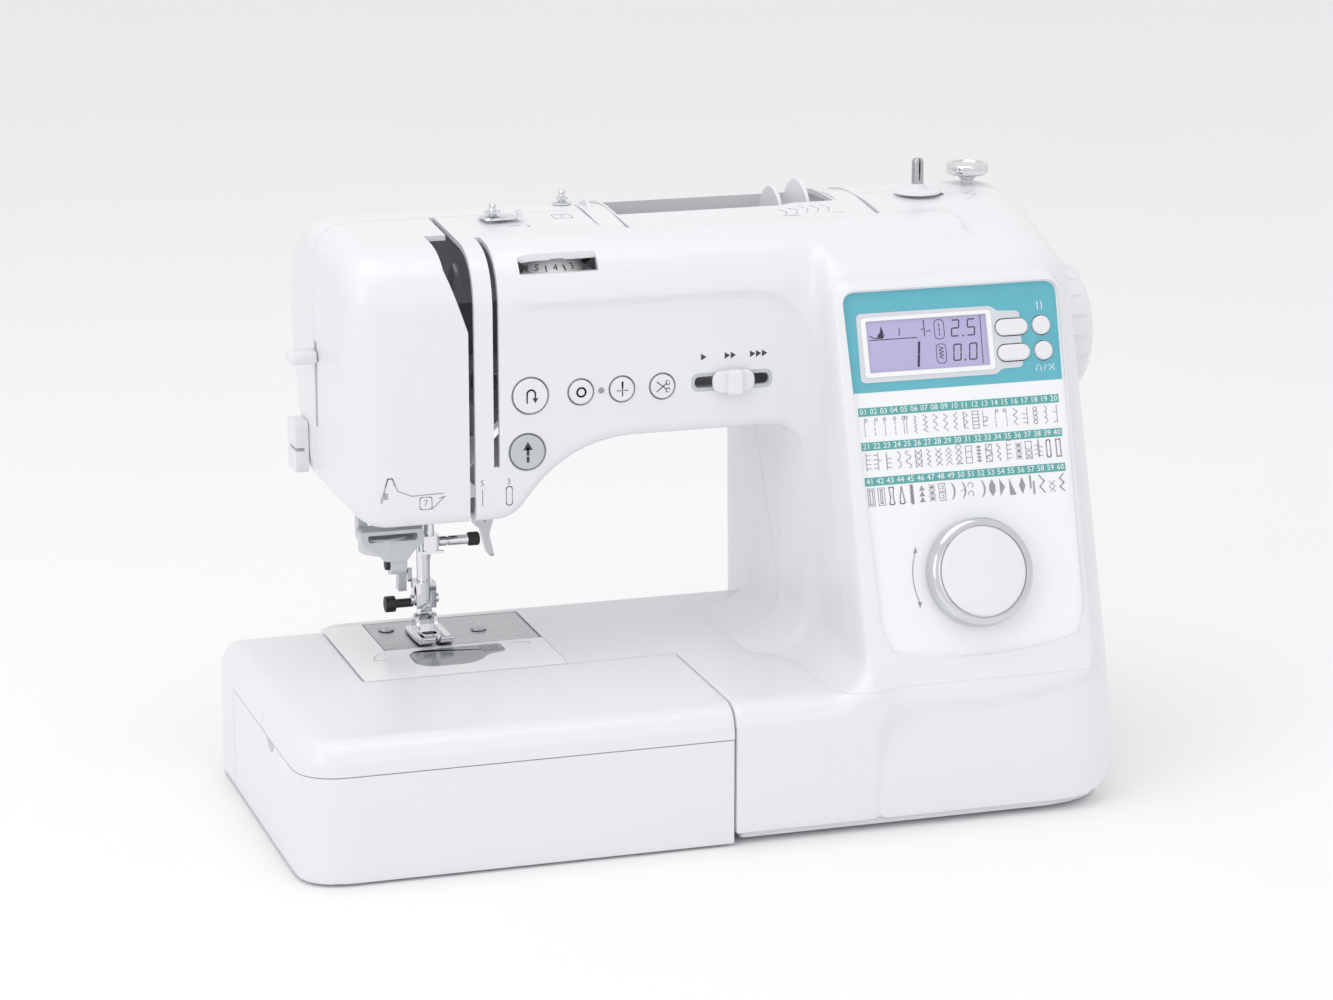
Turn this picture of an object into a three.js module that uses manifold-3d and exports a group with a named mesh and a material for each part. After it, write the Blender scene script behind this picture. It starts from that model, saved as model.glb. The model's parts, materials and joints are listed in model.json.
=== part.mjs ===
// Free-arm household sewing machine with a wide flat-bed attachment, as an assembly of separate pieces.
// Units are millimetres. +X points to the handwheel end, -Y to the operator and +Z up.
// The origin is on the table, under the middle of the machine's bounding box.
import * as THREE from "three";
import { mergeVertices } from "three/addons/utils/BufferGeometryUtils.js";
import Module from "manifold-3d";

const wasm = await Module();
wasm.setup();

// ---------------------------------------------------------------- driving dimensions
const GAP = 0.3; // between pieces that touch
const WALL = 2.8; // moulded casing wall

const LEFT = -240; // flat-bed attachment, left end
const FRONT = -124.5; // bed and attachment, front face
const BACK = 124.5; // arm and tower, back face
const WHEEL_FACE = 240; // handwheel, outer face
const BED_TOP = 74.8;

const HEAD_LEFT = -190;
const ARM_FRONT = -30;
const ARM_CREASE_Z = 268;
const RIDGE_Y = 55;
const RIDGE_Z = 304;
const HEAD_BOTTOM = 157;
const ARM_BOTTOM = 197;
const TOWER_LEFT = 62;
const TOWER_RIGHT = 208;
const THROAT_RIGHT = 57;
const SPLIT_Y = 50; // joint between the front and rear casings
const FACE_EDGE = -127; // right edge of the face cover
const ARM_EDGE = -123.8; // left edge of the front casing: the thread slot lies between the two

const ARM_LEFT = -183; // free arm
const ARM_NEAR = -22.8;
const ARM_FAR = 88;
const ARM_UNDER = 28;
const SEAM_X = -13; // right end of the attachment

const TOWER_CORNER_R = 34; // right front edge of the tower
const HEAD_CORNER_R = 18; // lower left corner of the head
const BED_CORNER_R = 46;
const ARM_CURVE_R = 34; // where the arm's underside drops to the head

const PANEL_FOOT_Y = -115; // the control panel's plane passes through this line
const PANEL_FOOT_Z = 72;
const PANEL_TILT = THREE.MathUtils.degToRad(18);
const SLOPE = Math.tan(PANEL_TILT);

const SHAFT_Y = 36;
const SHAFT_Z = 226;
const NEEDLE_X = -131;
const NEEDLE_Y = 44;
const CLAMP_SCREW_Z = 128.5;
const PRESSER_Y = 57;
const FOOT_PIN = [54, 84.2]; // the presser foot's pin, in (y, z)
const HOLDER_SCREW_Z = 92;
const HOOK_X = -130;
const HOOK_Y = 21;
const TAKE_UP_Y = 50;
const TAKE_UP_Z = 235;
const HANDLE_Y = 11;
const HANDLE_Z = 295;
const SPOOL_Y = 60;
const SPOOL_Z = 290;

// ---------------------------------------------------------------- materials
const finish = (color, roughness, metalness = 0) =>
  new THREE.MeshStandardMaterial({ color, roughness, metalness });
const WHITE = finish(0xf4f4f8, 0.32);
const COOL_WHITE = finish(0xe6e7ee, 0.4);
const LIGHT_GREY = finish(0xc9cdd3, 0.45);
const TEAL = finish(0x64b4c6, 0.35);
const DISPLAY = finish(0xb3afd6, 0.2);
const BLACK = finish(0x1c1c1e, 0.55);
const RUBBER = finish(0x2a2a2c, 0.9);
const CHROME = finish(0xd8d9dc, 0.12, 1);
const STEEL = finish(0xa9abb0, 0.35, 1);
const CAST = finish(0x9a9da2, 0.6, 0.8);
const CLEAR = finish(0xaab0b8, 0.1);

// ---------------------------------------------------------------- geometry tools
// Turns a closed geometry into a solid that can be joined and cut.
function solid(geometry) {
  const loose = geometry.index ? geometry.toNonIndexed() : geometry;
  const bare = new THREE.BufferGeometry();
  bare.setAttribute("position", loose.getAttribute("position"));
  const merged = mergeVertices(bare, 1e-3);
  return new wasm.Manifold(
    new wasm.Mesh({
      numProp: 3,
      vertProperties: merged.getAttribute("position").array,
      triVerts: new Uint32Array(merged.index.array),
    }),
  );
}

function geometryOf(shape) {
  const { vertProperties, triVerts } = shape.getMesh();
  const geometry = new THREE.BufferGeometry();
  geometry.setAttribute("position", new THREE.BufferAttribute(vertProperties, 3));
  geometry.setIndex(new THREE.BufferAttribute(triVerts, 1));
  return geometry;
}

const join = (first, ...others) => others.reduce((sum, other) => sum.add(other), first);
const cut = (first, ...others) => others.reduce((rest, other) => rest.subtract(other), first);
const common = (first, ...others) => others.reduce((part, other) => part.intersect(other), first);

// An outline through corners [a, b, radius]; a radius of 0 or none leaves the corner sharp.
function roundedShape(corners) {
  const shape = new THREE.Shape();
  corners.forEach(([a, b, radius = 0], i) => {
    const corner = new THREE.Vector2(a, b);
    const before = new THREE.Vector2(...corners.at(i - 1));
    const after = new THREE.Vector2(...corners[(i + 1) % corners.length]);
    const start = corner.clone().add(before.sub(corner).setLength(radius));
    const end = corner.clone().add(after.sub(corner).setLength(radius));
    if (i === 0) shape.moveTo(start.x, start.y);
    else shape.lineTo(start.x, start.y);
    if (radius > 0) shape.quadraticCurveTo(a, b, end.x, end.y);
  });
  shape.closePath();
  return shape;
}

const [X, Y, Z] = [new THREE.Vector3(1, 0, 0), new THREE.Vector3(0, 1, 0), new THREE.Vector3(0, 0, 1)];

// For each extrusion axis: the drawing's two directions and the direction of its depth.
const DRAWN = { x: [Y, Z, X], y: [X, Z, Y.clone().negate()], z: [X, Y, Z] };

// A prism between two stations along an axis. The shape is drawn in (y, z), (x, z) or (x, y).
function prism(axis, shape, from, to, curveSegments = 4) {
  const geometry = new THREE.ExtrudeGeometry(shape, {
    depth: to - from,
    bevelEnabled: false,
    curveSegments,
  });
  const depthAxis = DRAWN[axis][2];
  const start = axis === "y" ? -to : from;
  const matrix = new THREE.Matrix4().makeBasis(...DRAWN[axis]);
  matrix.setPosition(depthAxis.clone().multiplyScalar(start));
  return solid(geometry.applyMatrix4(matrix));
}

function box([x0, x1], [y0, y1], [z0, z1]) {
  const geometry = new THREE.BoxGeometry(x1 - x0, y1 - y0, z1 - z0);
  return solid(geometry.translate((x0 + x1) / 2, (y0 + y1) / 2, (z0 + z1) / 2));
}

// A body of revolution about an axis through (a, b). Its profile is [radius, station] pairs
// that start and end on the axis, with the station rising along the axis.
function turned(axis, [a, b], profile, segments = 20) {
  const points = profile.map(([radius, station]) => new THREE.Vector2(radius, station));
  const geometry = new THREE.LatheGeometry(points, segments);
  if (axis === "x") geometry.rotateZ(-Math.PI / 2);
  if (axis === "z") geometry.rotateX(Math.PI / 2);
  const [x, y, z] = { x: [0, a, b], y: [a, 0, b], z: [a, b, 0] }[axis];
  return solid(geometry.translate(x, y, z));
}

const rod = (axis, radius, [from, to], centre, segments = 16) =>
  turned(axis, centre, [[0, from], [radius, from], [radius, to], [0, to]], segments);

const rectangle = (a0, a1, b0, b1, radius = 0) =>
  roundedShape([[a0, b0, radius], [a1, b0, radius], [a1, b1, radius], [a0, b1, radius]]);

function piece(name, shape, material, parent = machine) {
  const mesh = new THREE.Mesh(shape.isBufferGeometry ? shape : geometryOf(shape), material);
  mesh.name = name;
  parent.add(mesh);
  return mesh;
}

const machine = new THREE.Group();

// The control panel's own frame: x along the machine, y up the slope and z out of the panel.
const panelFrame = new THREE.Group();
panelFrame.position.set(0, PANEL_FOOT_Y, PANEL_FOOT_Z);
panelFrame.rotation.x = Math.PI / 2 - PANEL_TILT;
panelFrame.updateMatrixWorld(true);
machine.add(panelFrame);

const onPanel = (shape) => shape.transform([...panelFrame.matrixWorld.elements]);

// ---------------------------------------------------------------- casing outlines
// Front view of the arm, head and tower, drawn in by `inset`; `floor` is its lowest edge.
const frontView = (inset, floor) =>
  roundedShape([
    [HEAD_LEFT + inset, RIDGE_Z - inset, 12],
    [HEAD_LEFT + inset, HEAD_BOTTOM + inset, HEAD_CORNER_R],
    [-103 - inset, HEAD_BOTTOM + inset, 8],
    [-72 - inset, ARM_BOTTOM + inset, ARM_CURVE_R],
    [THROAT_RIGHT + inset, ARM_BOTTOM + inset, 22],
    [THROAT_RIGHT + inset, BED_TOP + 2, 24],
    [THROAT_RIGHT - 28 + inset, BED_TOP + GAP],
    [THROAT_RIGHT - 28 + inset, floor],
    [TOWER_RIGHT - inset, floor],
    [TOWER_RIGHT - inset, RIDGE_Z - inset, 30],
  ]);

const BACK_CURVE = 62; // how far the top rounds down to the back

// Side view of the arm and head.
const armSide = (inset) =>
  roundedShape([
    [ARM_FRONT + inset, 60],
    [ARM_FRONT + inset, ARM_CREASE_Z - inset],
    [ARM_FRONT + inset + 2, RIDGE_Z - 6 - inset, 28],
    [RIDGE_Y, RIDGE_Z - inset],
    [BACK - inset, RIDGE_Z - inset, BACK_CURVE],
    [BACK - inset, 60],
  ]);

const slopeY = (z) => PANEL_FOOT_Y + (z - PANEL_FOOT_Z) * SLOPE;

// Side view of the tower, whose front leans back with the control panel.
const towerSide = (inset, floor) =>
  roundedShape([
    [slopeY(floor) + inset, floor],
    [slopeY(284) + inset, 284 - inset, 14],
    [10, RIDGE_Z - 1 - inset, 24],
    [RIDGE_Y, RIDGE_Z - inset],
    [RIDGE_Y, floor],
  ]);

// Rounds the tower's right front edge along the whole slope.
function towerCorner(inset) {
  const right = TOWER_RIGHT - inset;
  const shape = roundedShape([
    [-400, 400],
    [-400, -inset],
    [right, -inset, TOWER_CORNER_R],
    [right, 400],
  ]);
  const settings = { depth: 500, bevelEnabled: false, curveSegments: 3 };
  const geometry = new THREE.ExtrudeGeometry(shape, settings);
  geometry.applyMatrix4(new THREE.Matrix4().makeBasis(X, Z.clone().negate(), Y));
  geometry.translate(0, -150, 0);
  return onPanel(solid(geometry));
}

function casingSolid(inset) {
  const floor = inset > 0 ? 40 : BED_TOP + GAP;
  const arm = prism("x", armSide(inset), HEAD_LEFT - 5, TOWER_RIGHT + 5);
  const tower = prism("x", towerSide(inset, floor), TOWER_LEFT + inset, TOWER_RIGHT + 5);
  const outline = prism("y", frontView(inset, floor), FRONT - 20, BACK + 20);
  return common(join(arm, tower), outline, towerCorner(inset));
}

// ---------------------------------------------------------------- places of controls
const START_BUTTON = [-96.1, 193.1];
const REVERSE_BUTTON = [-94.3, 222.8];
const SMALL_BUTTONS = {
  stitch_tie_button: [-67.1, 223],
  needle_position_button: [-44.8, 223],
  thread_cut_button: [-22.8, 223],
};
const BIG_BUTTON_R = 9.2;
const SMALL_BUTTON_R = 6.4;
const SLIDER = { left: -4, right: 35, z: 223.5, rest: 15.5 };
const DIAL_WHEEL = { x: -77, y: 5, z: 287.5, r: 25 };
const DISPLAY_BOX = { left: 76.5, right: 151, low: 163, high: 195.5 };
const KEYS = {
  key_upper_left: [161.3, 185.3, 18, 8.6],
  key_lower_left: [161.3, 171.8, 18, 8.6],
  key_upper_right: [178.2, 185.3, 10, 10],
  key_lower_right: [178.2, 171.8, 10, 10],
};
const DIAL = { x: 128.5, y: 58 };
const PANEL = { left: 67.5, right: 189.5, low: 16, high: 209.5, depth: 2.6 };
const THREAD_SLOT = [-114, -110.8]; // left and right edges of the slot right of the take-up window
const WINDER = [144, 37];
const WINDER_STOP = [183, 62];
const SWITCH = { y: 84, z: 128 };
const INLET = { y: 84, z: 96 };

// ---------------------------------------------------------------- recesses in the top
const SPOOL_WELL = { r: 25, left: -27, right: 95 };
const HANDLE_ARMS = [-36, 104];
const HANDLE_ARM_W = 13;

// Side view of the folded handle, from its pivot over the ridge to the grip at the back.
const handleSide = (grow, lift = 0) =>
  roundedShape([
    [HANDLE_Y - 4.5 - grow, HANDLE_Z - 4.5 - grow, 4.4 - grow],
    [RIDGE_Y, 295.5 - grow, 14],
    [92, 289 - grow, 8],
    [104 - grow, 277 - grow, 3],
    ...(lift ? [[130, 279], [130, 300]] : [[113, 283.5, 3]]),
    [97, 298.5 + lift, 10],
    [RIDGE_Y, 305.2 + lift, 16],
    [HANDLE_Y - 4.5 - grow, HANDLE_Z + 4.5 + lift, 4.4 - grow],
  ]);

// The room that the handle, its grip and the spool need, enlarged by `grow` for its walls.
function topRecess(grow) {
  const lift = 14;
  const half = HANDLE_ARM_W / 2 + 1 + grow;
  const arms = HANDLE_ARMS.map((x) => prism("x", handleSide(1 + grow, lift), x - half, x + half));
  const [first, last] = [HANDLE_ARMS[0] - half, HANDLE_ARMS[1] + half];
  const grip = common(
    prism("x", handleSide(1 + grow, lift), first, last),
    box([first - 1, last + 1], [84 - grow, BACK], [250, 340]),
  );
  const { r, left, right } = SPOOL_WELL;
  const well = rod("x", r + grow, [left - grow, right + grow], [SPOOL_Y, SPOOL_Z], 20);
  const mouth = box([left - grow, right + grow], [SPOOL_Y - r - grow, 90], [SPOOL_Z, 330]);
  return join(well, mouth, grip, ...arms);
}

// ---------------------------------------------------------------- casings
function makeCasings() {
  const outer = casingSolid(0);
  const inner = casingSolid(WALL);
  const ribs = common(topRecess(2), outer);
  const shell = cut(join(cut(outer, inner), ribs), topRecess(0));

  const mouth = box([-184, -108], [12, 80], [140, HEAD_BOTTOM + 16]);
  const lifterSlot = box([-112, -80], [62, 78], [140, 186]);
  const shaftHole = rod("x", 8.5, [TOWER_RIGHT - 30, TOWER_RIGHT + 5], [SHAFT_Y, SHAFT_Z]);

  const front = cut(
    common(shell, box([ARM_EDGE, 300], [FRONT - 10, SPLIT_Y], [0, 400])),
    mouth,
    shaftHole,
    ...frontOpenings(),
  );
  piece("front_casing", front, WHITE);

  const sideHole = ({ y, z }, halfY, halfZ) =>
    box([TOWER_RIGHT - 6, TOWER_RIGHT + 20], [y - halfY, y + halfY], [z - halfZ, z + halfZ]);
  const rear = cut(
    common(shell, box([-300, 300], [SPLIT_Y + GAP, BACK + 10], [0, 400])),
    mouth,
    lifterSlot,
    rod("z", 3.6, [290, 320], WINDER_STOP),
    sideHole(SWITCH, 7, 11),
    sideHole(INLET, 13, 10),
  );
  piece("rear_casing", rear, WHITE);

  // The take-up window widens towards the top of the thread slot.
  const windowShape = new THREE.Shape([
    new THREE.Vector2(FACE_EDGE + 1, 255),
    new THREE.Vector2(FACE_EDGE + 1, 320),
    new THREE.Vector2(FACE_EDGE - 13, 320),
    new THREE.Vector2(FACE_EDGE - 11, 290),
  ]);
  const window = prism("y", windowShape, ARM_FRONT - 5, 14);
  const threaderSlot = box([HEAD_LEFT - 5, HEAD_LEFT + 8], [43.5, 48.5], [196, 242]);
  const face = cut(
    common(shell, box([-300, FACE_EDGE], [FRONT - 10, SPLIT_Y], [0, 400])),
    mouth,
    window,
    threaderSlot,
  );
  piece("face_cover", face, WHITE);
}

function frontOpenings() {
  const hole = (centre, radius) =>
    rod("y", radius + 0.4, [ARM_FRONT - 5, ARM_FRONT + 8], centre, 20);
  const openings = [hole(START_BUTTON, BIG_BUTTON_R), hole(REVERSE_BUTTON, BIG_BUTTON_R)];
  for (const centre of Object.values(SMALL_BUTTONS)) openings.push(hole(centre, SMALL_BUTTON_R));
  const { x: dialX, y: dialY, z: dialZ, r: dialR } = DIAL_WHEEL;
  openings.push(
    box([SLIDER.left, SLIDER.right], [ARM_FRONT - 5, ARM_FRONT + 8], [SLIDER.z - 3, SLIDER.z + 3]),
    box(THREAD_SLOT, [ARM_FRONT - 5, 6], [186, 330]),
    rod("z", dialR + 0.8, [dialZ - 4.5, dialZ + 4.5], [dialX, dialY], 28),
  );
  // The panel lies in a shallow pocket with one large opening behind it.
  const { left, right, low, high, depth } = PANEL;
  const pocket = rectangle(left - GAP, right + GAP, low - GAP, high + GAP, 8);
  const [x, y] = WINDER;
  openings.push(
    onPanel(prism("z", pocket, -depth - GAP, 10)),
    onPanel(box([left + 5, right - 5], [low + 5, high - 5], [-30, 10])),
    box([x - 6, x + 16], [y - 5, y + 5], [290, 320]),
  );
  return openings;
}

// ---------------------------------------------------------------- bed, base and feet
const bedPlan = (t) =>
  roundedShape([
    [ARM_LEFT + t, ARM_NEAR + t, 4],
    [SEAM_X + GAP + t, ARM_NEAR + t],
    [SEAM_X + GAP + t, FRONT + t, 1],
    [TOWER_RIGHT - t, FRONT + t, BED_CORNER_R],
    [TOWER_RIGHT - t, BACK - 4 - t, 24],
    [38 + t, BACK - 4 - t, 10],
    [38 + t, ARM_FAR - t, 4],
    [ARM_LEFT + t, ARM_FAR - t, 14],
  ]);
const BASE_SHELL_Z = 6;
const SHELF_TOP = 13; // the base tray's tongue under the free arm

// The room under the free arm, drawn out by `grow` for the wall above it.
const underArm = (grow) =>
  box([-400, SEAM_X + 6 + grow], [ARM_NEAR - 1 - grow, 200], [-10, ARM_UNDER + grow]);

// The room in front of the control panel's plane, which the bed's front wall leans back with.
function beyondSlope(grow) {
  const [low, high] = [30, 80];
  const side = new THREE.Shape([
    new THREE.Vector2(slopeY(high) + grow, high),
    new THREE.Vector2(slopeY(low) + grow, low),
    new THREE.Vector2(FRONT - 20, low),
    new THREE.Vector2(FRONT - 20, high),
  ]);
  return prism("x", side, TOWER_LEFT - grow, 300);
}

function makeBed() {
  const outer = cut(prism("z", bedPlan(0), BASE_SHELL_Z, BED_TOP, 5), underArm(0), beyondSlope(0));
  const hollow = prism("z", bedPlan(WALL), -5, BED_TOP - WALL, 5);
  const inner = cut(hollow, underArm(WALL), beyondSlope(WALL));
  const throat = box([78, 192], [-70, 104], [60, 90]);
  const plateSeat = box([ARM_LEFT - 1, -72.4], [ARM_NEAR - 1, 80.4], [BED_TOP - 2.5, 90]);
  const plateWell = box([ARM_LEFT + 5, -76], [ARM_NEAR + 5, 76], [60, 90]);
  const leverSlot = box([-112, -82], [ARM_FAR - 6, ARM_FAR + 5], [46, 51]);
  const shelfSlot = box([SEAM_X - 2, SEAM_X + 14], [ARM_NEAR + 5, ARM_FAR - 2], [0, SHELF_TOP]);
  const openings = [inner, throat, plateSeat, plateWell, leverSlot, shelfSlot];
  piece("bed_casing", cut(outer, ...openings), WHITE);
}

function makeBase() {
  const [low, high] = [2.6, BASE_SHELL_Z - GAP];
  const tongue = rectangle(-118, SEAM_X + 20, ARM_NEAR + 6, ARM_FAR - 3, 10);
  const floor = rectangle(SEAM_X + 4, TOWER_RIGHT - 6, FRONT + 5, BACK - 9, 14);
  const tray = join(prism("z", tongue, low, SHELF_TOP - 1), prism("z", floor, low, high));
  piece("base_tray", tray, COOL_WHITE);
  const feet = {
    left_front: [-100, 0],
    left_rear: [-100, 68],
    right_front: [165, -95],
    right_rear: [180, 90],
  };
  for (const [place, [x, y]] of Object.entries(feet)) {
    const foot = new THREE.CylinderGeometry(9, 10, 2.3, 16).rotateX(Math.PI / 2);
    piece("foot_" + place, foot, RUBBER).position.set(x, y, 1.15);
  }
}

// ---------------------------------------------------------------- stitch plate area
function makeStitchPlate() {
  const plateShape = rectangle(-159.7, -73.9, 28.4, 78.9, 2);
  const slot = rectangle(NEEDLE_X - 3.6, NEEDLE_X + 3.6, NEEDLE_Y - 1.6, NEEDLE_Y + 1.6, 1.4);
  const holes = [
    box([NEEDLE_X - 9.5, NEEDLE_X - 4.4], [32, 62], [70, 80]),
    box([NEEDLE_X + 4.4, NEEDLE_X + 9.5], [32, 62], [70, 80]),
    prism("z", slot, 70, 80),
  ];
  const screws = { plate_screw_left: [-149.8, 65.9], plate_screw_right: [-101.6, 52.6] };
  for (const [name, centre] of Object.entries(screws)) {
    holes.push(rod("z", 2.4, [70, 80], centre, 12));
    const profile = [[0, 67], [2, 67], [2, 75], [4.6, 75.1], [4.2, 76.2], [0, 76.4]];
    const screw = turned("z", centre, profile, 16);
    const [x, y] = centre;
    piece(name, cut(screw, box([x - 5, x + 5], [y - 0.6, y + 0.6], [75.7, 78])), STEEL);
  }
  piece("needle_plate", cut(prism("z", plateShape, BED_TOP - 2, BED_TOP), ...holes), STEEL);

  const front = box([ARM_LEFT, -72.7], [ARM_NEAR, 28], [BED_TOP - 2.2, BED_TOP]);
  const side = box([ARM_LEFT, -160.1], [27, 80], [BED_TOP - 2.2, BED_TOP]);
  const lensShape = rectangle(-150, -97, -8, 24.5, 10);
  piece("plate_surround", cut(join(front, side), prism("z", lensShape, 60, 90)), COOL_WHITE);

  const coverShape = rectangle(-149.6, -97.4, -7.6, 24.1, 9.7);
  piece("bobbin_cover", prism("z", coverShape, BED_TOP - 1.6, BED_TOP - 0.1), CLEAR);

  const centre = [HOOK_X, HOOK_Y];
  const hook = [[0, 46], [20, 46], [20, 63], [18.6, 63], [18.6, 48.5], [0, 48.5]];
  piece("hook", turned("z", centre, hook, 20), STEEL);
  const bobbinCase = [[0, 49], [18, 49], [18, 65], [12.2, 65], [12.2, 52], [0, 52]];
  piece("bobbin_case", turned("z", centre, bobbinCase, 20), BLACK);
  const bobbin = [
    [3, 52.5], [10.2, 52.5], [10.2, 53.7], [5, 53.7], [5, 62.8],
    [10.2, 62.8], [10.2, 64], [3, 64], [3, 52.5],
  ];
  piece("bobbin", turned("z", centre, bobbin, 16), CLEAR);

  const ridge = (x) => box([x - 1.7, x + 1.7], [34, 60], [69.5, 75.5]);
  const saddle = box([NEEDLE_X - 8.8, NEEDLE_X + 8.8], [46, 60], [56, 70]);
  const feedDog = join(saddle, ridge(NEEDLE_X - 7), ridge(NEEDLE_X + 7));
  piece("feed_dog", feedDog, STEEL);

  const stem = box([-110, -104], [ARM_FAR - 8, ARM_FAR + 1], [46.5, 50.5]);
  const knob = prism("y", rectangle(-112, -102, 44, 53, 2), ARM_FAR + GAP, ARM_FAR + 5);
  piece("drop_feed_lever", join(stem, knob), COOL_WHITE);
}

// ---------------------------------------------------------------- needle side
function makeNeedleSide() {
  const bar = rod("z", 3.2, [123, 236], [NEEDLE_X, NEEDLE_Y]);
  const clampPlan = rectangle(NEEDLE_X - 5, NEEDLE_X + 5, NEEDLE_Y - 5.5, NEEDLE_Y + 5.5, 3);
  const clamp = prism("z", clampPlan, 123.5, 133);
  const guide = box([NEEDLE_X - 5, NEEDLE_X + 7], [NEEDLE_Y - 6.5, NEEDLE_Y - 5], [123.5, 125]);
  const socket = rod("z", 1.6, [110, 124], [NEEDLE_X, NEEDLE_Y], 12);
  const screwHole = rod("x", 1.6, [NEEDLE_X, -120], [NEEDLE_Y, CLAMP_SCREW_Z]);
  piece("needle_bar", cut(join(bar, clamp, guide), socket, screwHole), CHROME);

  const needle = [[0, 101], [0.45, 104], [0.6, 118], [1.1, 121], [1.1, 123.6], [0, 123.6]];
  piece("needle", turned("z", [NEEDLE_X, NEEDLE_Y], needle, 10), STEEL);

  const screw = [
    [0, NEEDLE_X + 2.4], [1.2, NEEDLE_X + 2.4], [1.2, NEEDLE_X + 5.3], [2.7, NEEDLE_X + 5.3],
    [2.7, -109], [3.7, -108.6], [3.7, -103.6], [3, -103], [0, -103],
  ];
  piece("needle_clamp_screw", turned("x", [NEEDLE_Y, CLAMP_SCREW_Z], screw), CHROME);

  const presserBar = rod("z", 3.5, [101, 222], [NEEDLE_X, PRESSER_Y]);
  piece("presser_bar", presserBar, CHROME);

  const shank = box([NEEDLE_X - 5.5, NEEDLE_X + 5.5], [50, 62.5], [86.8, 104]);
  const shankParts = cut(
    shank,
    rod("z", 3.8, [100.5, 110], [NEEDLE_X, PRESSER_Y]),
    rod("x", 1.8, [NEEDLE_X - 8, NEEDLE_X - 1], [PRESSER_Y, HOLDER_SCREW_Z]),
  );
  const hanger = box([NEEDLE_X - 3, NEEDLE_X + 3], [51, 58], [82.5, 87]);
  const pinHole = rod("x", 1.5, [NEEDLE_X - 14, NEEDLE_X + 14], FOOT_PIN, 12);
  piece("foot_holder", cut(join(shankParts, hanger), pinHole), CHROME);

  const holderScrew = [
    [0, -153], [4.4, -152.4], [4.4, -147], [2.4, -146.6],
    [2.4, -137], [1.5, -136.9], [1.5, -133], [0, -133],
  ];
  piece("holder_screw", turned("x", [PRESSER_Y, HOLDER_SCREW_Z], holderScrew), BLACK);

  const sole = prism("z", rectangle(NEEDLE_X - 10, NEEDLE_X + 10, 25, 62, 3), 75.9, 78.6);
  const eye = prism("z", rectangle(NEEDLE_X - 4, NEEDLE_X + 4, 40, 48, 2.5), 70, 90);
  const ears = [-1, 1].map((side) =>
    box([NEEDLE_X + side * 5 - 1.2, NEEDLE_X + side * 5 + 1.2], [51, 57.5], [78, 86.4]),
  );
  const pin = rod("x", 1.1, [NEEDLE_X - 6.4, NEEDLE_X + 6.4], FOOT_PIN, 12);
  const toes = box([NEEDLE_X - 1.2, NEEDLE_X + 1.2], [20, 34], [70, 90]);
  piece("presser_foot", cut(join(sole, ...ears, pin), eye, toes), CHROME);

  // A bent lever hanging from a pivot inside the head, with a forked finger plate.
  const blade = roundedShape([
    [-104, 180, 4], [-104, 164, 2], [-97.5, 128, 1], [-96.5, 112, 2], [-91.5, 109, 3],
    [-89.5, 113, 1], [-91.5, 120, 1], [-88, 128, 1], [-91, 129, 1], [-94, 124, 0.5],
    [-95.5, 130, 1], [-96, 164, 2], [-96, 180, 4],
  ]);
  piece("presser_lifter", prism("y", blade, 66, 74, 2), LIGHT_GREY);

  piece("buttonhole_lever", box([-142.5, -138], [65.5, 72], [96, 180]), LIGHT_GREY);
}

// The lever outside the head, a rail inside it and the threading head under it move as one piece.
function makeThreader() {
  const lever = prism("x", rectangle(39, 53, 231, 238, 3), HEAD_LEFT - 15, HEAD_LEFT - GAP);
  const neck = box([HEAD_LEFT - 1, HEAD_LEFT + 12], [44.3, 47.7], [231, 238]);
  const rail = box([HEAD_LEFT + 10, HEAD_LEFT + 16], [40, 52], [136, 238]);
  const headPlate = prism("z", rectangle(HEAD_LEFT + 10, -138, 27, 52, 8), 126, 137);
  const hookHolder = box([-160, -141], [29, 44], [118, 127]);
  piece("needle_threader", join(lever, neck, rail, headPlate, hookHolder), LIGHT_GREY);

  const body = prism("x", rectangle(66, 86, 166, 194, 4), HEAD_LEFT - 7.5, HEAD_LEFT - GAP);
  const slit = box([HEAD_LEFT - 10, HEAD_LEFT - 2.5], [60, 80], [178, 180]);
  piece("thread_cutter", cut(body, slit), COOL_WHITE);
}

function makeTakeUp() {
  const lever = roundedShape([
    [TAKE_UP_Y - 8, TAKE_UP_Z - 8, 7],
    [TAKE_UP_Y + 8, TAKE_UP_Z - 8, 7],
    [TAKE_UP_Y + 8, TAKE_UP_Z + 6, 6],
    [16, 276, 4],
    [4, 289, 3],
    [-3, 284, 3],
    [8, 268, 5],
  ]);
  const thickness = 1;
  const middle = (FACE_EDGE + ARM_EDGE) / 2;
  const eye = rod("x", 1.4, [-140, -110], [4, 282], 10);
  const plate = prism("x", lever, middle - thickness, middle + thickness);
  piece("take_up_lever", cut(plate, eye), STEEL);
}

// ---------------------------------------------------------------- drive train and frame
const BELT_WHEEL_R = 24;
const MOTOR_WHEEL_R = 8;

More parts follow.
